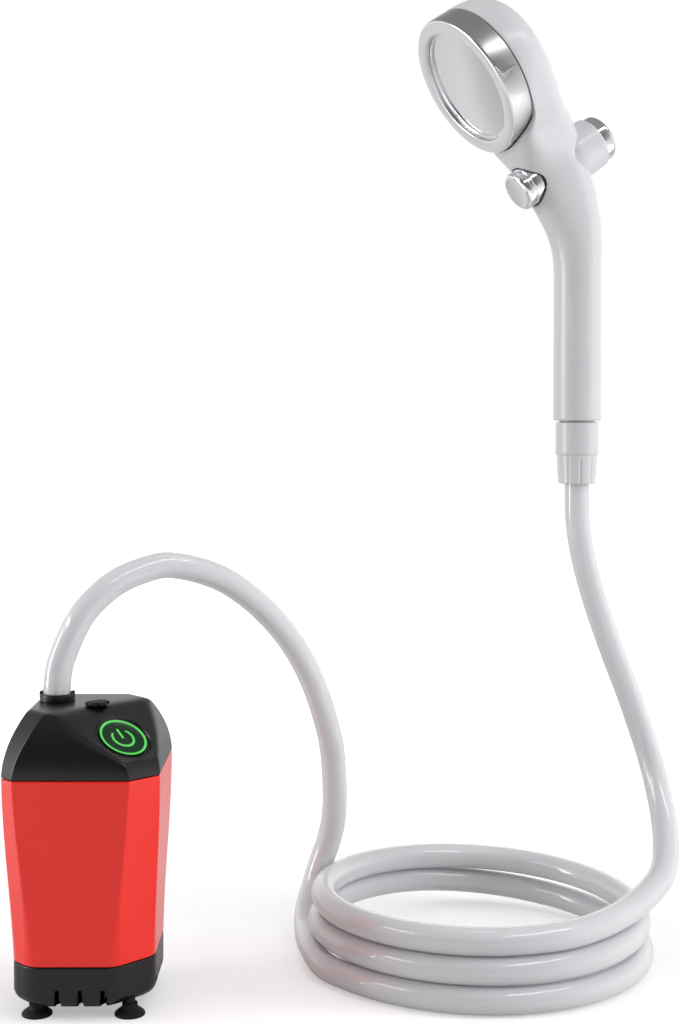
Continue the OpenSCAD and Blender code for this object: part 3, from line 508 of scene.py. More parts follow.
RUBBER = Finish("black_rubber_matt", "black_rubber", Surface.RUBBER, (0.009, 0.009, 0.0095), 0.62, bump=0.08, shine=0.3)
CLEAR = Finish("milky_hose", "hose_clear", Surface.HOSE, (0.63, 0.642, 0.66), 0.25, bump=0.01, patch=0.02, coat=1.0,
               coat_rough=0.05, bloom=0.3)
WRAP = Finish("cell_wrap_blue", "cell_wrap", Surface.PLASTIC, (0.03, 0.15, 0.42), 0.3)
BOARD = Finish("board_lacquer", "board_green", Surface.PLASTIC, (0.01, 0.15, 0.04), 0.4)
SMOKED = Finish("smoked_button", "button_dark", Surface.PLASTIC, (0.003, 0.028, 0.007), 0.25, shine=0.3)
LIT = Finish("green_light_lit", "green_light", Surface.LIGHT, (0.07, 0.46, 0.075), 0.4, glow=0.55)
SLOT_FINISH = {f.slot: f for f in (RED, BLACK, DARK, WHITE, PALE, CHROME, STEEL, RUBBER, CLEAR, WRAP, BOARD,
                                   SMOKED, LIT)}


@dataclass
class PumpHousing:
    """Shell, cap and base of the pump: square plans with corner facets, lofted up the axis."""

    body_w: float = 0.071
    foot_w: float = 0.0645
    foot_gap: float = 0.0055
    base_z: float = 0.025
    cap_z: float = 0.1105
    wall: float = 0.0024
    front_cut: float = 0.0124
    side_cut: float = 0.0058
    cut_spread: float = 0.0038
    crease: float = 0.0012
    base_round: float = 0.012
    base_edge: float = 0.007
    deck_inset: float = 0.0098
    deck_edge: float = 0.0016
    cap_lean: float = 2.0
    deck_cut_spread: float = 0.004
    part_edge: float = 0.0006
    part_gap: float = 0.00025
    side_from: float = 0.001
    facet_fillet: float = 0.0012
    recess_r: float = 0.0133
    recess_h: float = 0.0025
    recess_edge: float = 0.0004
    facet_near: float = 0.0012
    facet_fade: float = 0.0006
    notch_pitch: float = 0.0103
    notch_h: float = 0.0085
    notch_w: float = 0.003
    notch_depth: float = 0.0094
    arc_steps: int = 6
    flat_steps: int = 48
    base_flat_steps: int = 120
    joint_rows: int = 5
    deck_edge_rows: int = 9
    cap_rows: int = 90
    base_edge_rows: int = 25

    def plan(self, w: Array, spread: Array | float, inset: Array | float, r: Array) -> Array:
        """Square outlines with one wide and three narrow corner facets and rounded creases.

        A facet's leg shrinks by 2 - sqrt 2 of the inset, and each flat has points that gather at its ends.

        Args:
            w: width across the flats of each outline.
            spread: what is added to the facets' legs.
            inset: how far each outline lies inside the outer wall.
            r: radius of the creases.

        Returns:
            Outline points of each plan.
        """
        h = w / 2
        shrink = inset * (2 - math.sqrt(2))
        wide, narrow = self.front_cut + spread - shrink, self.side_cut + spread - shrink
        corners = np.stack([np.stack(c, -1) for c in (
            (h, h - narrow), (h - narrow, h), (narrow - h, h), (-h, h - narrow),
            (-h, narrow - h), (narrow - h, -h), (h - wide, -h), (h, wide - h))], 1)
        reach = (r * math.tan(math.pi / 8))[:, None, None]
        before, after, arcs = corner_curves(corners, reach, self.arc_steps)
        f = (0.5 - 0.5 * np.cos(math.pi * np.linspace(0, 1, self.flat_steps + 2)[1:-1]))[:, None]
        flats = mix(after[:, :, None], np.roll(before, -1, 1)[:, :, None], f)
        return np.concatenate([arcs, flats], 2).reshape(len(w), -1, 2)

    def shell_plan(self, z: Array, inset: Array | float) -> Array:
        """Shell outline: its width eases from foot to cap joint, and its creases fade into round corners below.

        Args:
            z: height of each outline.
            inset: how far it lies inside the outer wall.

        Returns:
            Outline points at each height.
        """
        t = np.clip((z - self.base_z) / (self.cap_z - self.base_z), 0, 1)
        spread = self.cut_spread * (1 - t)
        w = mix(self.foot_w, self.body_w, ease(t)) - 2 * inset
        return self.plan(w, spread, inset, mix(self.crease, self.base_round - inset, (1 - t) ** 4))

    def cap_plan(self, z: Array, inset: Array | float) -> Array:
        """Cap outline: its sides lean in ever more towards the deck, whose edge is an arc.

        Args:
            z: height of each outline.
            inset: how far it lies inside the outer wall.

        Returns:
            Outline points at each height.
        """
        s = np.clip((z - self.cap_z) / (DECK_Z - self.cap_z), 0, 1)
        d = np.clip(z - DECK_Z + self.deck_edge, 0, self.deck_edge)
        edge = self.deck_edge - np.sqrt(self.deck_edge ** 2 - d ** 2)
        w = self.body_w - 2 * (inset + self.deck_inset * s ** self.cap_lean + edge)
        return self.plan(w, self.deck_cut_spread * s, inset, np.full_like(z, self.crease))

    def base_plan(self, z: Array, inset: Array | float) -> Array:
        """Base outline: straight sides above a lower edge that is an arc.

        Args:
            z: height of each outline.
            inset: how far it lies inside the outer wall.

        Returns:
            Outline points at each height.
        """
        d = np.clip(self.foot_gap + self.base_edge - z, 0, self.base_edge)
        edge = self.base_edge - np.sqrt(self.base_edge ** 2 - d ** 2)
        w = self.foot_w - 2 * (inset + edge)
        return self.plan(w, self.cut_spread, inset, np.full_like(z, self.base_round) - inset)

    def joint_edge(self, low: float, high: float, count: int) -> tuple[Array, Array]:
        """Heights between two joints, with the inset that rounds both ends.

        Args:
            low: lower joint.
            high: upper joint.
            count: rows between them.

        Returns:
            Heights and insets.
        """
        rise, inset = quarter(self.part_edge, self.joint_rows)
        z = np.concatenate([low + rise, np.linspace(low, high, count + 2)[1:-1], high - rise[::-1]])
        return z, np.concatenate([inset, np.zeros(count), inset[::-1]])

    @staticmethod
    def lifted(outline: Array, z: Array) -> Array:
        """Outlines raised to their heights, in the shared frame."""
        heights = np.broadcast_to(z[:, None, None], outline.shape[:2] + (1,))
        return PUMP.put(np.concatenate([outline, heights], -1))

    @staticmethod
    def closed_to(ring: Array, count: int) -> Array:
        """Rings that shrink from one ring to its middle at the same height.

        Args:
            ring: the outermost ring, which isn't repeated.
            count: number of new rings.

        Returns:
            The rings, the last of them a point.
        """
        middle = ring.mean(0)
        share = np.linspace(1, 0, count + 1)[1:, None, None]
        return middle + (ring - middle) * share

    def shell(self) -> Piece:
        """Red shell: outer loft with rounded joint edges, and an inner wall inside it.

        Returns:
            The shell.
        """
        z, inset = self.joint_edge(self.base_z + self.part_gap, self.cap_z - self.part_gap, count=56)
        inner_z = np.linspace(self.cap_z - self.part_edge, self.base_z + self.part_edge, 10)
        rows = [self.shell_plan(z, inset), self.shell_plan(inner_z, self.wall)]
        grid = self.lifted(np.concatenate(rows), np.concatenate([z, inner_z]))
        return grid_piece("pump_red_shell", grid, RED, wrap_rows=True)

    def facet_cut(self, grid: Array, depth: float) -> Array:
        """Press what stands before the button's facet back onto it, with a small fillet, and sink the recess.

        A point at distance d before the plane moves back by k log(1 + exp(d / k)).

        Args:
            grid: points of the cap.
            depth: how far the plane lies behind the facet.

        Returns:
            The pressed points.
        """
        d = FACET.measure(grid)[..., 2] + depth
        k = self.facet_fillet
        pressed = grid - (k * np.logaddexp(0, d / k))[..., None] * FACET.z
        local = FACET.measure(pressed)
        on_facet = ease((local[..., 2] + depth + self.facet_near) / self.facet_fade)
        sink = self.recess_h * ease((self.recess_r - off_axis(local)) / self.recess_edge + 0.5) * on_facet
        return pressed - sink[..., None] * FACET.z

    def cap(self) -> Piece:
        """Black cap: leaning sides, flat deck and slanted button facet, with an inner wall.

        Returns:
            The cap.
        """
        rise, foot_inset = quarter(self.part_edge, self.joint_rows)
        side_z = np.linspace(self.cap_z + self.side_from, DECK_Z - self.deck_edge, self.cap_rows)[:-1]
        edge_z = DECK_Z - quarter(self.deck_edge, self.deck_edge_rows)[1]
        z = np.concatenate([self.cap_z + rise, side_z, edge_z])
        inset = np.concatenate([foot_inset, np.zeros(len(side_z) + len(edge_z))])
        outer = self.lifted(self.cap_plan(z, inset), z)
        outer = self.facet_cut(np.concatenate([outer, self.closed_to(outer[-1], count=60)]), depth=0.0)
        inner_z = np.linspace(self.cap_z + self.part_edge, DECK_Z - self.wall, 30)
        inner = self.lifted(self.cap_plan(inner_z, self.wall), inner_z)
        inner = self.facet_cut(np.concatenate([inner, self.closed_to(inner[-1], count=20)]), depth=self.wall)
        return grid_piece("pump_black_cap", np.concatenate([inner[::-1], outer]), BLACK, sharp=CRISP_MOULDING)

    def base(self) -> Piece:
        """Black base: round lower edge with wedge-shaped inlet notches, whose faces carry near-black painted shade, and
        an inner wall.

        Returns:
            The base.
        """
        low_z = self.foot_gap + quarter(self.base_edge, self.base_edge_rows)[0]
        top, top_inset = self.joint_edge(low_z[-1], self.base_z, count=10)
        keep = slice(self.joint_rows, None)
        z = np.concatenate([low_z, top[keep]])
        outer = self.lifted(self.base_plan(z, np.concatenate([np.zeros_like(low_z), top_inset[keep]])), z)
        outer = self.notched(np.concatenate([self.closed_to(outer[0], count=24)[::-1], outer]))
        inner_z = np.linspace(self.base_z - self.part_edge, self.foot_gap + self.wall, 20)
        inner = self.lifted(self.base_plan(inner_z, self.wall), inner_z)
        grid = np.concatenate([outer, inner, self.closed_to(inner[-1], count=12)])
        piece = grid_piece("pump_black_base", grid, BLACK, sharp=CRISP_MOULDING)
        local = PUMP.measure(face_values(piece, "center"))
        # The notches' faces get the near-black matt finish: painted shade in the recesses.
        return paint(piece, NOTCH_PAINTED_SHADE, self.in_notch(local, 0) | self.in_notch(local, 1))

    def in_notch(self, local: Array, along: int) -> Array:
        """Whether points of the base lie in a notch: near its middle line, under its top and past its floor.

        Args:
            local: points in the pump's frame.
            along: 0 for the notches that look along X, 1 for those along Y.

        Returns:
            True for each point in a notch.
        """
        rise = (local[..., 2] - self.foot_gap) / self.notch_h
        off = local[..., 1 - along]
        nearest = np.clip(np.round(off / self.notch_pitch), -1, 1) * self.notch_pitch
        half = self.notch_w / 2 * (1 - rise / 2)
        deep = np.abs(local[..., along]) > self.foot_w / 2 - self.notch_depth - WELD
        return (np.abs(off - nearest) < half) & (rise < 1) & deep

    def notched(self, grid: Array) -> Array:
        """Push the wall in where a notch stands: narrow at its top and wide at its foot.

        Args:
            grid: points of the base.

        Returns:
            The points with notches on all four sides.
        """
        local = PUMP.measure(grid)
        floor = self.foot_w / 2 - self.notch_depth
        for along in (0, 1):
            deep = np.sign(local[..., along]) * floor
            local[..., along] = np.where(self.in_notch(local, along), deep, local[..., along])
        return PUMP.put(local)

    def build(self) -> list[Piece]:
        """Make the three mouldings and let them stand for their solids."""
        finer = replace(self, flat_steps=self.base_flat_steps)
        return [settle(self.shell(), "shower", "body_shell"), settle(self.cap(), "shower", "top_cap"),
                settle(finer.base(), "shower", "base_cover")]


@dataclass
class PumpTrim:
    """Feet, outlet collar, port plug and lit power button of the pump."""

    foot_reach: float = 0.030
    foot_r: float = 0.007
    stem_r: float = 0.0025
    foot_gap: float = 0.0055
    foot_plate: float = 0.0037
    collar_r: float = 0.0083
    collar_h: float = 0.0035
    collar_bore: float = 0.0068
    lug_from: float = 0.955
    lug_fade: float = 0.03
    lug_slope: float = 4.0
    lug_foot: float = 2.5
    lug_h: float = 0.001
    lug_out: float = 0.05
    rim_from: float = 0.008
    rim_fade: float = 0.001
    button_r: float = 0.0115
    button_low: float = -0.0063
    face_z: float = -0.0007
    dish_from: float = 0.0085
    dish_span: float = 0.003
    dish_h: float = 0.0004
    ring_r: float = 0.0108
    symbol_r: float = 0.0052
    symbol_gap: float = 38.0
    bar_out: float = 1.15
    bar_in: float = 0.0004
    line_r: float = 0.0006
    line_h: float = 0.00028
    line_taper: int = 14
    plug_l: float = 0.011
    plug_w: float = 0.007
    plug_t: float = 0.0017
    plug_gap: float = 0.00005
    plug_side: float = 0.25
    plug_corner: float = 0.45
    plug_crown: float = 0.35
    tab_l: float = 0.0016
    tab_w: float = 0.0042
    tab_root: float = 0.0006
    tab_fade: float = 0.0004

    def feet(self) -> list[Piece]:
        """Suction feet: thin hollow cup, neck and bulb, turned about each stem.

        Returns:
            The four feet.
        """
        top = self.foot_gap + self.foot_plate
        profile = rounded([(0, 0.0022, 0), (0.005, 0.0005, 0.001), (0.0065, 0, 0.0002), (self.foot_r, 0, 0.0002),
                           (self.foot_r, 0.001, 0.0004), (0.0056, 0.0022, 0.0008), (0.0036, 0.0036, 0.0008),
                           (0.0036, self.foot_gap, 0.0003), (self.stem_r, self.foot_gap, 0), (self.stem_r, top, 0),
                           (0.003, top + 0.0005, 0.0003), (0.003, top + 0.0014, 0.0006),
                           (0.002, top + 0.0028, 0.0006), (0, top + 0.0028, 0)])
        pieces = []
        for i in range(4):
            place = turned(PUMP.origin, CORNER_TURN + 90 * i, 0.0).moved(self.foot_reach, 0, 0)
            piece = grid_piece(f"suction_cup_{i + 1}", revolve(profile, place, columns=64), RUBBER)
            pieces.append(settle(piece, "shower", f"suction_foot_{i + 1}"))
        return pieces

    def collar(self) -> Piece:
        """Outlet collar: a turned ring, lifted and widened at its rim where the angle's cosine is near 1 or -1.

        Returns:
            The collar.
        """
        profile = rounded([(self.collar_bore, 0, 0), (self.collar_r, 0, 0.0002), (self.collar_r, self.collar_h, 0.0007),
                           (self.collar_bore, self.collar_h, 0.0005)])
        grid = revolve(profile, OUTLET, columns=144)
        local = OUTLET.measure(grid)
        angle = np.arctan2(local[..., 1], local[..., 0])
        high = ease(local[..., 2] / self.collar_h * self.lug_slope - self.lug_foot)
        lug = ease((np.abs(np.cos(angle)) - self.lug_from) / self.lug_fade) * high
        rim = ease((off_axis(local) - self.rim_from) / self.rim_fade)
        local[..., 2] += self.lug_h * lug
        local[..., :2] *= 1 + self.lug_out * (lug * rim)[..., None]
        return settle(grid_piece("outlet_ring", OUTLET.put(local), BLACK, wrap_rows=True), "shower", "outlet_collar")

    def plug(self) -> Piece:
        """Port plug: a ball squared off to a lid by powers of sine and cosine, with a finger tab drawn out of one side.

        Returns:
            The plug.
        """
        u = np.linspace(0, 2 * math.pi, 96, endpoint=False)[None, :]
        v = np.linspace(-math.pi / 2, math.pi / 2, 25)[:, None]
        out = signed_power(np.cos(v), self.plug_side)
        x = out * signed_power(np.cos(u), self.plug_corner) * self.plug_w / 2
        y = out * signed_power(np.sin(u), self.plug_corner) * self.plug_l / 2
        z = signed_power(np.sin(v), self.plug_crown) * self.plug_t / 2 + np.zeros_like(u)
        tab = ease((x - self.plug_w / 2 + self.tab_root) / self.tab_fade)
        tab = tab * ease((self.tab_w / 2 - np.abs(y)) / self.tab_fade)
        grid = np.stack([x + self.tab_l * tab, y, z + self.plug_t / 2 + self.plug_gap], -1)
        return settle(grid_piece("port_lid", PORT.put(grid), RUBBER), "port_plug", "port_plug")

    def button(self) -> list[Piece]:
        """Power button: dished disc in a dark frame ring.

        Returns:
            Button and frame.
        """
        r, low, face = self.button_r, self.button_low, self.face_z
        disc = rounded([(0, low, 0), (0.0025, low, 0.0002), (0.0025, -0.0038, 0), (r, -0.0038, 0.0002),
                        (r, -0.0003, 0.0005), (r - 0.003, face, 0.001), (0, face, 0)])
        button = grid_piece("power_key", revolve(disc, FACET), SMOKED)
        bore = r + 0.00005
        ring = rounded([(bore, -0.0116, 0), (0.01235, -0.0116, 0.0002), (0.01235, -0.0026, 0), (0.0134, -0.0026, 0),
                        (0.0137, -0.0001, 0.0002), (0.01375, 0.00012, 0.0001), (0.0134, 0.00016, 0.0001),
                        (0.0128, -0.0009, 0.0004), (bore, -0.0011, 0.0003)])
        rim = grid_piece("button_rim", revolve(ring, FACET, columns=144), BLACK, wrap_rows=True)
        return [settle(button, "power_button", "power_button"), settle(rim, "shower", "button_frame")]

    def light(self) -> Piece:
        """Lit ring and power sign: flattened tubes along a circle, an open arc and a short line on the button's face.

        Returns:
            The light.
        """
        turn = np.linspace(0, 2 * math.pi, 120)
        open_turn = np.linspace(math.radians(self.symbol_gap), math.radians(360 - self.symbol_gap), 80)
        bar = np.stack([np.linspace(-self.symbol_r * self.bar_out, self.bar_in, 30), np.zeros(30)], -1)
        grids = [self.strip(self.ring_r * circle(turn), closed=True),
                 self.strip(self.symbol_r * circle(math.pi + open_turn), closed=False), self.strip(bar, closed=False)]
        return settle(grids_piece("button_glow", grids, LIT), "power_button", "button_light")

    def strip(self, path: Array, closed: bool) -> Array:
        """Flattened round tube along a path on the button's face, tapered shut at open ends.

        Args:
            path: points on the face.
            closed: whether the path is a loop.

        Returns:
            Grid of points in the shared frame.
        """
        ahead = unit(np.gradient(path, axis=0))
        if closed:
            ahead[[0, -1]] = unit(ahead[0] + ahead[-1])
        side = np.stack([-ahead[:, 1], ahead[:, 0]], -1)
        t = np.linspace(0, 1, len(path))
        end = np.ones(len(path)) if closed else np.sqrt(np.clip(1 - np.abs(2 * t - 1) ** self.line_taper, 0, 1))
        q = np.linspace(0, 2 * math.pi, 12, endpoint=False)
        flat = path[:, None] + side[:, None] * (self.line_r * end)[:, None, None] * np.cos(q)[None, :, None]
        dish = np.clip((off_axis(flat) - self.dish_from) / self.dish_span, 0, 1) * self.dish_h
        high = self.face_z + dish + self.line_h * end[:, None] * np.sin(q)[None, :]
        return FACET.put(np.concatenate([flat, high[..., None]], -1))

    def build(self) -> list[Piece]:
        """Make all the trim."""
        return [*self.feet(), self.collar(), self.plug(), *self.button(), self.light()]


@dataclass
class HandShower:
    """Housing of the hand shower: round handle, bend, neck and flat-fronted head in one lofted skin."""

    handle_r: float = 0.0125
    handle_l: float = 0.088
    bend_r: float = 0.083
    tilt: float = math.radians(33)
    neck_l: float = 0.0602
    neck_a: float = 0.0145
    neck_flare: float = 0.012
    neck_front: float = 0.021
    seam_out: float = 0.0107
    chin_fade: float = 0.012
    swell_lead: float = 0.25
    swell_span: float = 1.1
    gusset: float = 0.003
    gusset_at: float = 0.027
    gusset_rise: float = 0.018
    gusset_fall: float = 0.010
    bezel_clear: float = 0.0384
    head_r: float = 0.0379
    depth: float = 0.0255
    foot_round: float = 0.0009
    side_from: float = 0.002
    neck_square: float = 2.3
    head_square: float = 3.0
    crown: float = 0.00025
    seat_floor: float = 0.00005
    seat_above: float = 0.0003
    well_r: float = 0.0113
    well_floor: float = 0.0037
    boss_r: float = 0.014
    boss_end: float = 0.0255
    stub_r: float = 0.0088
    thread_from: float = -0.0012
    thread_to: float = -0.0092
    thread_pitch: float = 0.0018
    thread_depth: float = 0.0004
    columns: int = 240

    def __post_init__(self) -> None:
        """Work out the frames of the valve's axis and of the spray face."""
        forward = np.array([math.cos(self.tilt), 0.0, -math.sin(self.tilt)])
        self.along = np.array([math.sin(self.tilt), 0.0, math.cos(self.tilt)])
        valve = np.array([self.bend_r * (1 - math.cos(self.tilt)), 0.0,
                          self.handle_l + self.bend_r * math.sin(self.tilt)])
        self.seam = valve + self.neck_l * self.along + self.seam_out * forward
        self.forward = forward
        self.valve = turned(HANDLE.put(valve), HANDLE_TURN, 90 + math.degrees(self.tilt))
        self.face = turned(HANDLE.put(self.seam), HANDLE_TURN, 90 + math.degrees(self.tilt))

    def sections(self, mid: Array, lean: Array, a: Array, front: Array, back: Array, p: Array) -> Array:
        """Superellipse sections with their own depth before and behind the widest line.

        Args:
            mid: middle of each section.
            lean: lean of each section, in radians.
            a: half width.
            front: depth before the widest line.
            back: depth behind it.
            p: squareness, 2 for an ellipse.

        Returns:
            Grid of points in the handle's frame.
        """
        q = np.linspace(0, 2 * math.pi, self.columns, endpoint=False)[None, :]
        power = (2 / p)[:, None]
        c, s = signed_power(np.cos(q), power), signed_power(np.sin(q), power)
        out = np.where(c > 0, front[:, None], back[:, None]) * c
        return np.stack([mid[:, 0, None] + out * np.cos(lean)[:, None], a[:, None] * s,
                         mid[:, 1, None] - out * np.sin(lean)[:, None]], -1)

    def handle_rows(self) -> Array:
        """Straight handle with a rounded foot, whose front begins to swell below the bend.

        Returns:
            Grid of points in the handle's frame.
        """
        rise, inset = quarter(self.foot_round, 6)
        side_z = np.linspace(self.side_from, self.handle_l, 60)[:-1]
        z = np.concatenate([[0.0], rise, side_z])
        r = np.concatenate([[0.0], self.handle_r - inset, np.full_like(side_z, self.handle_r)])
        mid = np.stack([np.zeros_like(z), z], -1)
        front = r + self.front_depth((z - self.handle_l) / (self.bend_r * self.tilt)) - self.handle_r
        front = np.where(r > 0, front, 0.0)
        return self.sections(mid, np.zeros_like(z), r, front, r, np.full_like(z, 2.0))

    def front_depth(self, t: Array) -> Array:
        """Depth before the middle along the bend, eased from the handle's to the neck's."""
        return mix(self.handle_r, self.neck_front, ease((t + self.swell_lead) / self.swell_span))

    def bend_rows(self) -> Array:
        """Bend: the middle follows an arc, and the section widens to the neck's.

        Returns:
            Grid of points in the handle's frame.
        """
        t = np.linspace(0, 1, 70)[:-1]
        lean = self.tilt * t
        front = self.front_depth(t)
        back = mix(self.handle_r, self.depth - self.seam_out, t)
        mid = np.stack([self.bend_r * (1 - np.cos(lean)), self.handle_l + self.bend_r * np.sin(lean)], -1)
        return self.sections(mid, lean, mix(self.handle_r, self.neck_a, ease(t)), front, back,
                             mix(2.0, self.neck_square, t))

    def head_rows(self) -> Array:
        """Neck and head: the widest line slides from the neck's middle to the head's seam, and the back domes over.

        Returns:
            Grid of points in the handle's frame.
        """
        r = self.head_r
        turn = np.radians(np.concatenate([np.linspace(-72, 60, 110), np.linspace(60, 89.6, 40)[1:]]))
        t = np.concatenate([np.linspace(-self.neck_l, r * math.sin(turn[0]), 60)[:-1], r * np.sin(turn)])
        k = ease((t + self.neck_l) / (self.neck_l - r))
        disc = np.sqrt(np.clip(r * r - t * t, 0, None))
        flare = self.neck_flare * ease((t + self.neck_l) / (self.neck_l - r / 2))
        stem = (self.neck_a + flare) * (1 - ease(t / r + 1))
        a = (disc ** 4 + stem ** 4) ** 0.25
        dome = np.clip(1 - np.clip(t / r, 0, 1) ** self.head_square, 0, 1) ** (1 / self.head_square)
        sunk = mix(self.seam_out, self.crown, k)
        chin = (self.neck_front - self.seam_out) * (1 - ease((t + r) / self.chin_fade))
        swell = self.gusset * ease((-t - self.gusset_at) / self.gusset_rise)
        swell = swell * ease((t + self.neck_l) / self.gusset_fall)
        back = np.maximum(self.crown, self.depth * dome - sunk + swell)
        base = self.seam + t[:, None] * self.along - sunk[:, None] * self.forward
        return self.sections(base[:, [0, 2]], np.full_like(t, self.tilt), a, sunk + chin, back,
                             mix(self.neck_square, self.head_square, k))

    @staticmethod
    def sunk_disc(grid: Array, place: Place, radius: float, floor: float, above: float) -> Array:
        """Sink a round seat: points within its rim go down to its floor, and points near the rim onto its circle.

        Args:
            grid: points of the skin in the shared frame.
            place: frame of the seat, with +Z out of it.
            radius: radius of its rim.
            floor: height of its floor.
            above: height from which points belong to the seat.

        Returns:
            The points with the seat.
        """
        local = place.measure(grid)
        rho = off_axis(local)
        high = local[..., 2] > above
        inside = high & (rho < radius)
        band, gap = 0.0003, 0.00002
        snapped = np.where(inside, np.where(rho > radius - band, radius - gap, rho),
                           np.where(high & (rho < radius + band), radius + gap, rho))
        local[..., :2] *= (snapped / np.maximum(rho, 1e-9))[..., None]
        local[..., 2] = np.where(inside, floor, local[..., 2])
        return place.put(local)

    def skin(self) -> Piece:
        """One closed skin from the handle's foot to the top of the head.

        Returns:
            The skin.
        """
        grid = np.concatenate([self.handle_rows(), self.bend_rows(), self.head_rows()])
        top = np.broadcast_to(grid[-1].mean(0), grid[-1:].shape)
        grid = HANDLE.put(np.concatenate([grid, top]))
        grid = self.sunk_disc(grid, self.valve, self.well_r, self.well_floor, above=0.0)
        grid = self.sunk_disc(grid, self.face, self.bezel_clear, self.seat_floor, self.seat_above)
        return grid_piece("hand_shower_shell", grid, WHITE, sharp=CRISP_SEAT)

    def boss(self) -> Piece:
        """Rear valve boss: a short barrel with a soft rear edge and a flared root inside the neck.

        Returns:
            The boss.
        """
        r, end = self.boss_r, -self.boss_end
        profile = rounded([(0.006, 0.0, 0), (0.006, end, 0.0003), (r - 0.0002, end, 0.0008), (r, -0.018, 0.003),
                           (r + 0.0006, -0.010, 0.002), (r - 0.001, 0.0, 0)])
        return grid_piece("valve_barrel", revolve(profile, self.valve, columns=128), WHITE, wrap_rows=True)

    def stub(self) -> Piece:
        """Threaded stub under the handle: a shoulder, and a core whose radius follows a cosine along its length.

        Returns:
            The stub.
        """
        ridge = np.linspace(self.thread_from, self.thread_to, 150)
        turn = 2 * math.pi * (ridge - self.thread_from) / self.thread_pitch
        core = np.stack([self.stub_r - self.thread_depth * (0.5 - 0.5 * np.cos(turn)), ridge], -1)
        head = rounded([(0.004, 0.002, 0), (0.004, -0.0095, 0), (self.stub_r - 0.0006, -0.0095, 0.0003)])
        shoulder = rounded([(self.stub_r, -0.0006, 0), (0.0096, -0.0006, 0.0002), (0.0096, 0.0005, 0)])
        profile = np.concatenate([head, core[::-1], shoulder])
        return grid_piece("handle_stub", revolve(profile, HANDLE, columns=96), WHITE, wrap_rows=True)

    def build(self) -> list[Piece]:
        """Make the housing's skin, boss and stub."""
        return [settle(piece, "shower", "handset_body") for piece in (self.skin(), self.boss(), self.stub())]


@dataclass
class SprayHead:
    """Turning spray head: bezel ring with thumb wedge, spray plate and its nozzles."""

    face: Place
    head_r: float = 0.0379
    depth: float = 0.0135
    gap: float = 0.0005
    inner_r: float = 0.0349
    lip_r: float = 0.0305
    plate_r: float = 0.0329
    plate_top: float = 0.0113
    plate_t: float = 0.0025
    wedge_w: float = 0.010
    wedge_h: float = 0.003
    painted_light_slope: float = 0.6

    def bezel(self) -> Piece:
        """Bezel: a turned ring with soft edges, a rebate that holds the plate, and a front in lighter chrome, painted
        light that stands for the light falling on it while the rim stays darker.

        Returns:
            The ring.
        """
        top, low = self.plate_top, self.plate_top - self.plate_t
        profile = rounded([(self.inner_r, self.gap, 0.0002), (self.head_r - 0.0002, self.gap, 0.0003),
                           (self.head_r, self.depth / 2, 0.002), (self.head_r - 0.0002, self.depth, 0.0016),
                           (self.lip_r, self.depth - 0.0002, 0.0012), (self.lip_r - 0.0001, top, 0.0001),
                           (self.plate_r + 0.0001, top, 0), (self.plate_r + 0.0001, low, 0), (self.inner_r, low, 0)])
        piece = grid_piece("bezel_ring", revolve(profile, self.face, columns=256), SATIN, wrap_rows=True)
        # Faces that look out along the head's axis get the lighter chrome: painted light on the bezel's front.
        return paint(piece, CHROME_PAINTED_LIGHT, face_values(piece, "normal") @ self.face.z > self.painted_light_slope)

    def wedge(self) -> Piece:
        """Thumb wedge on the rim: a pyramid that is low at the seam and stands out at the front edge.

        Returns:
            The wedge.
        """
        inset = 0.0012
        r, low, high = self.head_r - inset, inset, self.depth - inset
        points = np.array([[-self.wedge_w / 2, r, high], [self.wedge_w / 2, r, high], [0.0, r, low],
                           [self.wedge_w / 6, self.head_r + self.wedge_h, high],
                           [self.wedge_w / 6, self.head_r + 0.0002, low + 0.0006]])
        faces = np.array([[0, 2, 1], [0, 1, 3], [1, 4, 3], [1, 2, 4], [0, 4, 2], [0, 3, 4]])
        piece = make_piece("thumb_wedge", self.face.put(points), faces, SATIN)
        bevel = piece.modifiers.new("soft_edges", "BEVEL")
        bevel.width = 0.0004
        bevel.segments = 3
        return piece

    def plate(self) -> Piece:
        """Spray plate: a polished disc with a shallow step near its rim and a slightly raised middle.

        Returns:
            The plate.
        """
        top, low = self.plate_top, self.plate_top - self.plate_t
        profile = rounded([(0, low, 0), (self.plate_r, low, 0.0002), (self.plate_r, top, 0.0001),
                           (self.lip_r - 0.0006, top - 0.0001, 0.0002), (self.lip_r - 0.0012, top - 0.0008, 0.0003),
                           (0.015, top + 0.0006, 0.014), (0, top + 0.0006, 0)], steps=12)
        return grid_piece("spray_disc", revolve(profile, self.face, columns=192), CHROME)

    def nozzles(self) -> Piece:
        """Nozzles: rings of small bright domes set through the plate.

        Returns:
            The nozzles.
        """
        rings = [(0.010, 8), (0.017, 14), (0.024, 20)]
        centres = np.concatenate([r * circle(np.arange(n) * 2 * math.pi / n) for r, n in rings])
        profile = rounded([(0, -0.0018, 0), (0.0006, -0.0018, 0), (0.0006, -0.0004, 0), (0.0004, 0.00012, 0.0001),
                           (0, 0.0001, 0)], steps=2)
        dome = revolve(profile, Place(np.zeros(3), *np.eye(3)), columns=10)
        offset = np.concatenate([centres, np.full((len(centres), 1), self.plate_top - 0.0006)], -1)
        return grids_piece("spray_nozzles", self.face.put(dome[None] + offset[:, None, None, :]), CHROME)

    def build(self) -> list[Piece]:
        """Make the head's turning pieces."""
        return [settle(self.bezel(), "spray_head", "spray_bezel"), settle(self.wedge(), "spray_head", "spray_bezel"),
                settle(self.plate(), "spray_head", "spray_plate"), settle(self.nozzles(), "spray_head")]


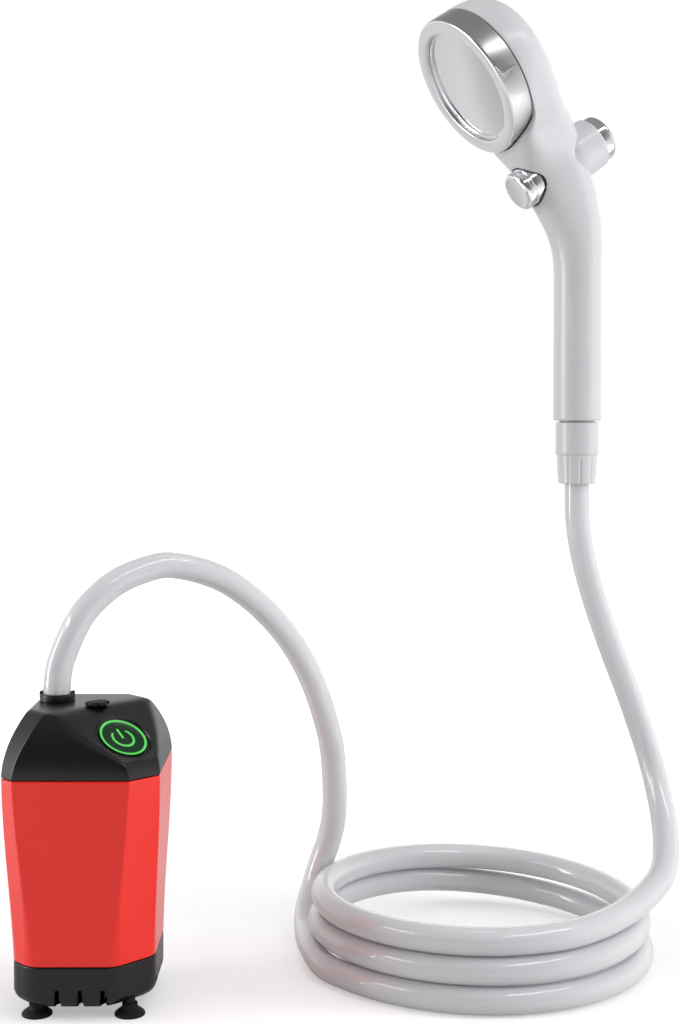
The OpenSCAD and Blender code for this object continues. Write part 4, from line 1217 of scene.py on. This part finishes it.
@dataclass
class StopValve:
    """Push-through stop valve: front button and rear cap at the two ends of the spool."""

    axis: Place
    front: float = 0.0274
    back: float = 0.0120
    knob_r: float = 0.0105
    neck_r: float = 0.0088
    cap_r: float = 0.0125
    cap_z: float = -0.0258
    cap_t: float = 0.0065

    def knob(self) -> Piece:
        """Front button: a polished disc with a shallow dish on a narrower neck.

        Returns:
            The button.
        """
        r, z = self.knob_r, self.front
        profile = rounded([(0, self.back, 0), (self.neck_r, self.back, 0.0003), (self.neck_r, z - 0.0122, 0.0004),
                           (r, z - 0.0118, 0.0004), (r, z - 0.0064, 0.0003), (r - 0.0009, z - 0.0060, 0.0002),
                           (r - 0.0009, z - 0.0050, 0.0002), (r, z - 0.0046, 0.0003), (r, z - 0.0012, 0.0011),
                           (r - 0.0018, z, 0.0009), (r - 0.0034, z - 0.0004, 0.0006), (0, z - 0.0007, 0)])
        return grid_piece("front_knob", revolve(profile, self.axis, columns=144), CHROME)

    def cap(self) -> Piece:
        """Rear cap: a polished disc with a bevelled rim and a flat, slightly sunk face.

        Returns:
            The cap.
        """
        z, r = self.cap_z, self.cap_r
        end = z - self.cap_t
        profile = rounded([(0, end + 0.0004, 0), (r - 0.0034, end + 0.0003, 0.0004), (r - 0.0026, end, 0.0003),
                           (r - 0.0012, end, 0.0006), (r, end + 0.0014, 0.0008), (r, z, 0.0003), (0, z, 0)])
        return grid_piece("rear_disc", revolve(profile, self.axis, columns=144), CHROME)

    def build(self) -> list[Piece]:
        """Make both ends of the valve."""
        return [settle(self.knob(), "stop_valve", "front_button"), settle(self.cap(), "stop_valve", "rear_cap")]


@dataclass
class Coupling:
    """Coupling nut under the handle: plain upper collar and fluted lower part."""

    top: float = -0.0009
    step: float = -0.0184
    end: float = -0.0334
    upper_r: float = 0.01125
    lower_r: float = 0.0105
    bore_r: float = 0.0068
    seat_r: float = 0.0101
    seat_l: float = 0.0094
    core_r: float = 0.0091
    shelf: float = -0.015
    round_steps: int = 8
    flutes: int = 10
    flute_depth: float = 0.0004
    flute_slope: float = 3.0
    flute_floor: float = 0.0090
    flute_fade: float = 0.0004
    flute_from: float = 0.0008
    flute_lead: float = 0.0015

    def build(self) -> list[Piece]:
        """Turn the nut's profile, and press flutes into its lower part where the cosine of the turns is near 1.

        Returns:
            The nut.
        """
        seat = self.top - self.seat_l
        inside = [(self.seat_r, self.top, 0.0002), (self.seat_r, seat, 0), (self.core_r, seat, 0),
                  (self.core_r, self.shelf, 0), (self.bore_r, self.shelf, 0), (self.bore_r, self.end, 0.0003),
                  (self.lower_r - 0.0006, self.end, 0.0007)]
        outside = [(self.lower_r, self.step, 0.0002), (self.upper_r, self.step + 0.0008, 0.0006),
                   (self.upper_r, self.top, 0.0008)]
        profile = rounded(inside + outside, self.round_steps)
        side = len(inside) * (self.round_steps + 1)
        between = mix(profile[side - 1], profile[side], np.linspace(0, 1, 24)[1:-1, None])
        fine = np.concatenate([profile[:side], between, profile[side:]])
        grid = HANDLE.measure(revolve(fine, HANDLE, columns=240))
        angle = np.arctan2(grid[..., 1], grid[..., 0])
        rho = off_axis(grid)
        flute = np.clip(np.cos(self.flutes * angle) * self.flute_slope - (self.flute_slope - 1), 0, 1)
        flute = flute * ease((rho - self.flute_floor) / self.flute_fade)
        flute = flute * ease((self.step - self.flute_from - grid[..., 2]) / self.flute_lead)
        grid[..., :2] *= (1 - self.flute_depth * flute / rho)[..., None]
        piece = grid_piece("coupling_ring", HANDLE.put(grid), WHITE, wrap_rows=True)
        return [settle(piece, "coupling_nut", "coupling_nut")]


@dataclass
class Hose:
    """Clear hose: arch from the pump, coil on the floor, and rise to the hand shower, as one swept tube."""

    r: float = 0.0065
    coil_mid: Pair = (0.074, 0.017)
    coil_r: float = 0.0815
    coil_pitch: float = 0.01295
    coil_taper: float = 0.0016
    coil_start: float = 204.0
    coil_end: float = 1020.0
    coil_step: float = 12.0
    climb_from: float = 248.0
    climb_wave: float = 0.8
    entry_angle: float = 250.0
    entry_spread: float = 0.0046
    entry_turn: float = 50.0
    sides: int = 28
    spacing: float = 0.0022
    span_steps: int = 24
    off_route: Triple = (-0.09, 0.75, -0.65)
    flat_to: float = 340.0
    climbed: float = 480.0
    arch: tuple[Triple, ...] = (
        (-0.13054, -0.03393, 0.1392), (-0.13054, -0.03393, 0.147), (-0.1284, -0.033, 0.159), (-0.1202, -0.028, 0.1777),
        (-0.1082, -0.0195, 0.1907), (-0.0945, -0.0095, 0.1975), (-0.0785, 0.001, 0.1995), (-0.0535, 0.015, 0.190),
        (-0.0305, 0.030, 0.1685), (-0.0135, 0.042, 0.141), (-0.0025, 0.051, 0.107), (0.0005, 0.0565, 0.082),
        (0.0005, 0.0595, 0.061), (-0.002, 0.062, 0.047), (-0.006, 0.063, 0.035), (-0.010, 0.0605, 0.023),
        (-0.0134, 0.050, 0.013), (-0.0136, 0.033, 0.0073), (-0.0106, 0.0082, 0.0066))
    rise: tuple[Triple, ...] = (
        (0.1291, -0.0381, 0.0337), (0.144, -0.0215, 0.0352), (0.1572, -0.0055, 0.039), (0.166, 0.0075, 0.045),
        (0.1702, 0.0215, 0.055), (0.171, 0.038, 0.071), (0.1675, 0.051, 0.093), (0.1585, 0.057, 0.122),
        (0.1495, 0.058, 0.146), (0.141, 0.058, 0.170), (0.134, 0.058, 0.194), (0.1301, 0.058, 0.216),
        (0.1295, 0.058, 0.235), (0.1295, 0.058, 0.2529))

    def coil(self) -> Array:
        """Turns of the coil: the radius shrinks with the angle, and the height climbs once the first turn lies flat.

        Returns:
            Points along the coil.
        """
        a = np.arange(self.coil_start, self.coil_end + 1, self.coil_step)
        radius = (self.coil_r - self.coil_taper * np.clip(a - self.entry_angle, 0, None) / 360
                  + self.entry_spread * (np.clip(self.entry_angle - a, 0, None) / self.entry_turn) ** 2)
        turns = (a - self.climb_from) / 360
        wave = self.climb_wave * np.sin(2 * math.pi * turns) / (2 * math.pi)
        start = ease((a - self.flat_to) / (self.climbed - self.flat_to))
        z = self.r + self.coil_pitch * np.clip(turns - wave, 0, None) * start
        q = np.radians(a)
        return np.stack([self.coil_mid[0] + radius * np.cos(q), self.coil_mid[1] + radius * np.sin(q), z], -1)

    def route(self) -> Array:
        """Smooth route through all the chosen points: cubic pieces through each four neighbours, evenly respaced.

        Returns:
            Points along the hose's middle.
        """
        p = np.concatenate([np.array(self.arch), self.coil(), np.array(self.rise)])
        p = np.concatenate([[2 * p[0] - p[1]], p, [2 * p[-1] - p[-2]]])
        a, b, c, d = (p[i:len(p) - 3 + i, None] for i in range(4))
        t = np.linspace(0, 1, self.span_steps, endpoint=False)[None, :, None]
        curve = 0.5 * (2 * b + (c - a) * t + (2 * a - 5 * b + 4 * c - d) * t ** 2 + (3 * b - a - 3 * c + d) * t ** 3)
        dense = np.concatenate([curve.reshape(-1, 3), p[-2:-1]])
        run = np.concatenate([[0.0], np.cumsum(np.linalg.norm(np.diff(dense, axis=0), axis=1))])
        even = np.linspace(0, run[-1], int(run[-1] / self.spacing))
        return np.stack([np.interp(even, run, dense[:, i]) for i in range(3)], -1)

    def tube(self, route: Array) -> Array:
        """Round tube along the route, square to it, closed by its end points.

        Each ring has one side square to the heading and to a fixed direction that no stretch follows.

        Args:
            route: points along the middle.

        Returns:
            Grid of points.
        """
        ahead = unit(np.gradient(route, axis=0))
        side = unit(np.cross(ahead, self.off_route))
        other = np.cross(ahead, side)
        q = np.linspace(0, 2 * math.pi, self.sides, endpoint=False)[None, :, None]
        rings = route[:, None] + self.r * (np.cos(q) * side[:, None] + np.sin(q) * other[:, None])
        ends = [np.broadcast_to(route[i], (1, self.sides, 3)) for i in (0, -1)]
        return np.concatenate([ends[0], rings, ends[1]])

    def build(self, on_hose: list[Piece]) -> Piece:
        """Args:
            on_hose: pieces that sit on the hose; not used.

        Returns:
            The hose.
        """
        route = self.route()
        piece = grid_piece("clear_hose", self.tube(route), CLEAR)
        settle(piece, "shower", "hose_arch", "hose_coil", "hose_rise")
        return piece


@dataclass(frozen=True)
class Lamp:
    """Soft rectangular lamp that faces a target, shown or not shown by gloss."""

    name: str
    at: Triple
    target: Triple
    size: Pair
    watts: float
    mirrored: bool

    def build(self) -> None:
        """Make the lamp, turned by the azimuth and the drop of its way to the target."""
        data = bpy.data.lights.new(self.name, "AREA")
        data.shape = "RECTANGLE"
        data.size, data.size_y = self.size
        data.energy = self.watts
        lamp = bpy.data.objects.new(self.name, data)
        to = np.array(self.target) - np.array(self.at)
        azimuth = math.atan2(to[1], to[0])
        drop = math.atan2(-to[2], math.hypot(to[0], to[1]))
        lamp.location = self.at
        lamp.rotation_euler = (math.pi / 2 - drop, 0.0, azimuth - math.pi / 2)
        lamp.visible_glossy = self.mirrored
        bpy.context.scene.collection.objects.link(lamp)


LAMPS = (Lamp("left_box", (-1.35, -0.20, 0.35), (0.0, 0.0, 0.15), (0.35, 0.9), 7.5, True),
         Lamp("right_box", (1.30, -0.24, 0.35), (0.0, 0.0, 0.15), (0.35, 0.9), 11.0, False),
         Lamp("top_box", (0.05, 0.10, 1.4), (0.0, 0.0, 0.1), (0.8, 0.8), 3.0, False),
         Lamp("left_bar", (-1.05, -0.35, 0.85), (0.05, 0.0, 0.1), (0.9, 0.12), 2.5, True),
         Lamp("right_bar", (0.63, -0.44, 1.15), (0.1, 0.0, 0.1), (0.9, 0.12), 2.5, True))


@dataclass
class Studio:
    """Pale floor, soft lamps, white surroundings and the photograph's camera."""

    eye: Triple = (0.00204, -0.7756, 0.2757)
    pitch: float = 1.421
    yaw: float = -0.11
    focal_px: float = 1570.0
    shift: float = -0.06
    sensor: float = 36.0
    far: float = 20.0
    ambient: float = 0.45
    front_dim: float = 0.15
    top_dim: float = 0.3
    floor_lift: float = 0.4
    floor_mirror: float = 0.4
    floor_beside: float = 0.55
    floor_fade: Pair = (0.2, 0.7)
    floor_behind: Pair = (0.5, 1.2)
    floor_aside: Pair = (0.07, 0.19)
    floor_near: Pair = (0.15, 0.4)
    floor_tone: float = 0.68
    floor_rough: float = 0.9
    floor_half: float = 6.0
    front_span: Pair = (-0.8, -0.3)
    top_span: Pair = (0.15, 0.75)

    def camera(self) -> None:
        """Make the camera: nearly level, a little above the middle of the object."""
        data = bpy.data.cameras.new("photo_camera")
        data.sensor_width = self.sensor
        data.lens = self.focal_px * self.sensor / IMAGE_H
        data.shift_y = self.shift
        data.clip_end = self.far
        camera = bpy.data.objects.new("photo_camera", data)
        camera.location = self.eye
        camera.rotation_euler = (math.radians(90 - self.pitch), 0.0, math.radians(self.yaw))
        bpy.context.scene.collection.objects.link(camera)
        bpy.context.scene.camera = camera

    def floor(self) -> None:
        """Wide pale floor that keeps the object's shadow: camera, clear pieces and gloss see it lit."""
        material = bpy.data.materials.new("pale_floor")
        material.use_nodes = True
        wire = Wiring(material.node_tree)
        shader = material.node_tree.nodes["Principled BSDF"]
        shader.inputs["Base Color"].default_value = (*[self.floor_tone] * 3, 1.0)
        shader.inputs["Roughness"].default_value = self.floor_rough
        shader.inputs["Emission Color"].default_value = (1.0, 1.0, 1.0, 1.0)
        path = wire.add("LightPath").outputs
        where = wire.add("TexCoord").outputs["Object"]
        reach = wire.add("VectorMath")
        reach.operation = "LENGTH"
        wire.join(where, reach.inputs[0])
        away = wire.eased(reach.outputs["Value"], self.floor_fade, (self.floor_lift, 1.0))
        place = wire.add("SeparateXYZ")
        wire.join(where, place.inputs[0])
        behind = wire.eased(place.outputs["Y"], self.floor_behind, (0.0, self.floor_mirror))
        off = wire.combine("SUBTRACT", place.outputs["X"], float(PUMP.origin[0]))
        aside = wire.eased(wire.combine("ABSOLUTE", off, 0.0), self.floor_aside, (0.0, self.floor_beside))
        near = wire.eased(place.outputs["Y"], self.floor_near, (1.0, 0.0))
        pale = wire.combine("MAXIMUM", behind, wire.combine("MULTIPLY", aside, near))
        mirrored = wire.combine("MULTIPLY", path["Is Glossy Ray"], pale)
        seen = wire.combine("MAXIMUM", path["Is Camera Ray"], mirrored)
        seen = wire.combine("MAXIMUM", path["Is Transmission Ray"], seen)
        wire.join(wire.combine("MULTIPLY", seen, away), shader.inputs["Emission Strength"])
        half = self.floor_half
        mesh = bpy.data.meshes.new("studio_floor")
        mesh.from_pydata([(-half, -half, 0), (half, -half, 0), (half, half, 0), (-half, half, 0)], [], [(0, 1, 2, 3)])
        floor = bpy.data.objects.new("studio_floor", mesh)
        mesh.materials.append(material)
        bpy.context.scene.collection.objects.link(floor)

    def surroundings(self) -> None:
        """White surroundings: gloss sees them go dim overhead and before the object, and light has a softer level."""
        world = bpy.data.worlds.new("white_room")
        world.use_nodes = True
        wire = Wiring(world.node_tree)
        back = world.node_tree.nodes["Background"]
        back.inputs["Color"].default_value = (1.0, 1.0, 1.0, 1.0)
        way = wire.add("SeparateXYZ")
        wire.join(wire.add("TexCoord").outputs["Generated"], way.inputs[0])
        front = wire.eased(way.outputs["Y"], self.front_span, (self.front_dim, 1.0))
        overhead = wire.eased(way.outputs["Z"], self.top_span, (1.0, self.top_dim))
        path = wire.add("LightPath").outputs
        gloss = wire.add("Mix")
        gloss.inputs[LEVEL_A].default_value = self.ambient
        wire.join(path["Is Glossy Ray"], gloss.inputs[0])
        wire.join(wire.combine("MINIMUM", front, overhead), gloss.inputs[LEVEL_B])
        level = wire.add("Mix")
        level.inputs[LEVEL_B].default_value = 1.0
        wire.join(wire.combine("MAXIMUM", path["Is Camera Ray"], path["Is Transmission Ray"]), level.inputs[0])
        wire.join(gloss.outputs[0], level.inputs[LEVEL_A])
        wire.join(level.outputs[0], back.inputs["Strength"])
        bpy.context.scene.world = world

    def build(self) -> None:
        """Set up the whole studio."""
        bpy.context.scene.view_settings.view_transform = "Standard"
        self.camera()
        self.floor()
        self.surroundings()
        for lamp in LAMPS:
            lamp.build()


def dress_inner_nodes() -> None:
    """Give every solid that stays in view the finish of its slot."""
    slots = {part["node"]: part["material_slot"] for part in frame["record"]["subparts"]}
    for node, piece in frame["nodes"].items():
        piece.data.materials.clear()
        piece.data.materials.append(SLOT_FINISH[slots[node]].material())


def main() -> None:
    """Build every sub-assembly in order and report its pieces."""
    logging.basicConfig(level=logging.INFO, format="%(message)s")
    Studio().build()
    dress_inner_nodes()
    shower = HandShower()
    coupling = Coupling().build()
    on_hose = [*coupling, frame["nodes"]["nut_washer"], frame["nodes"]["hose_tail"]]
    pieces = [Hose().build(on_hose), *coupling]
    pieces += PumpHousing().build() + PumpTrim().build() + shower.build()
    pieces += SprayHead(shower.face).build() + StopValve(shower.valve).build()
    for piece in pieces:
        LOG.info("%s: %d faces", piece.name, len(piece.data.polygons))


if __name__ == "__main__":
    main()
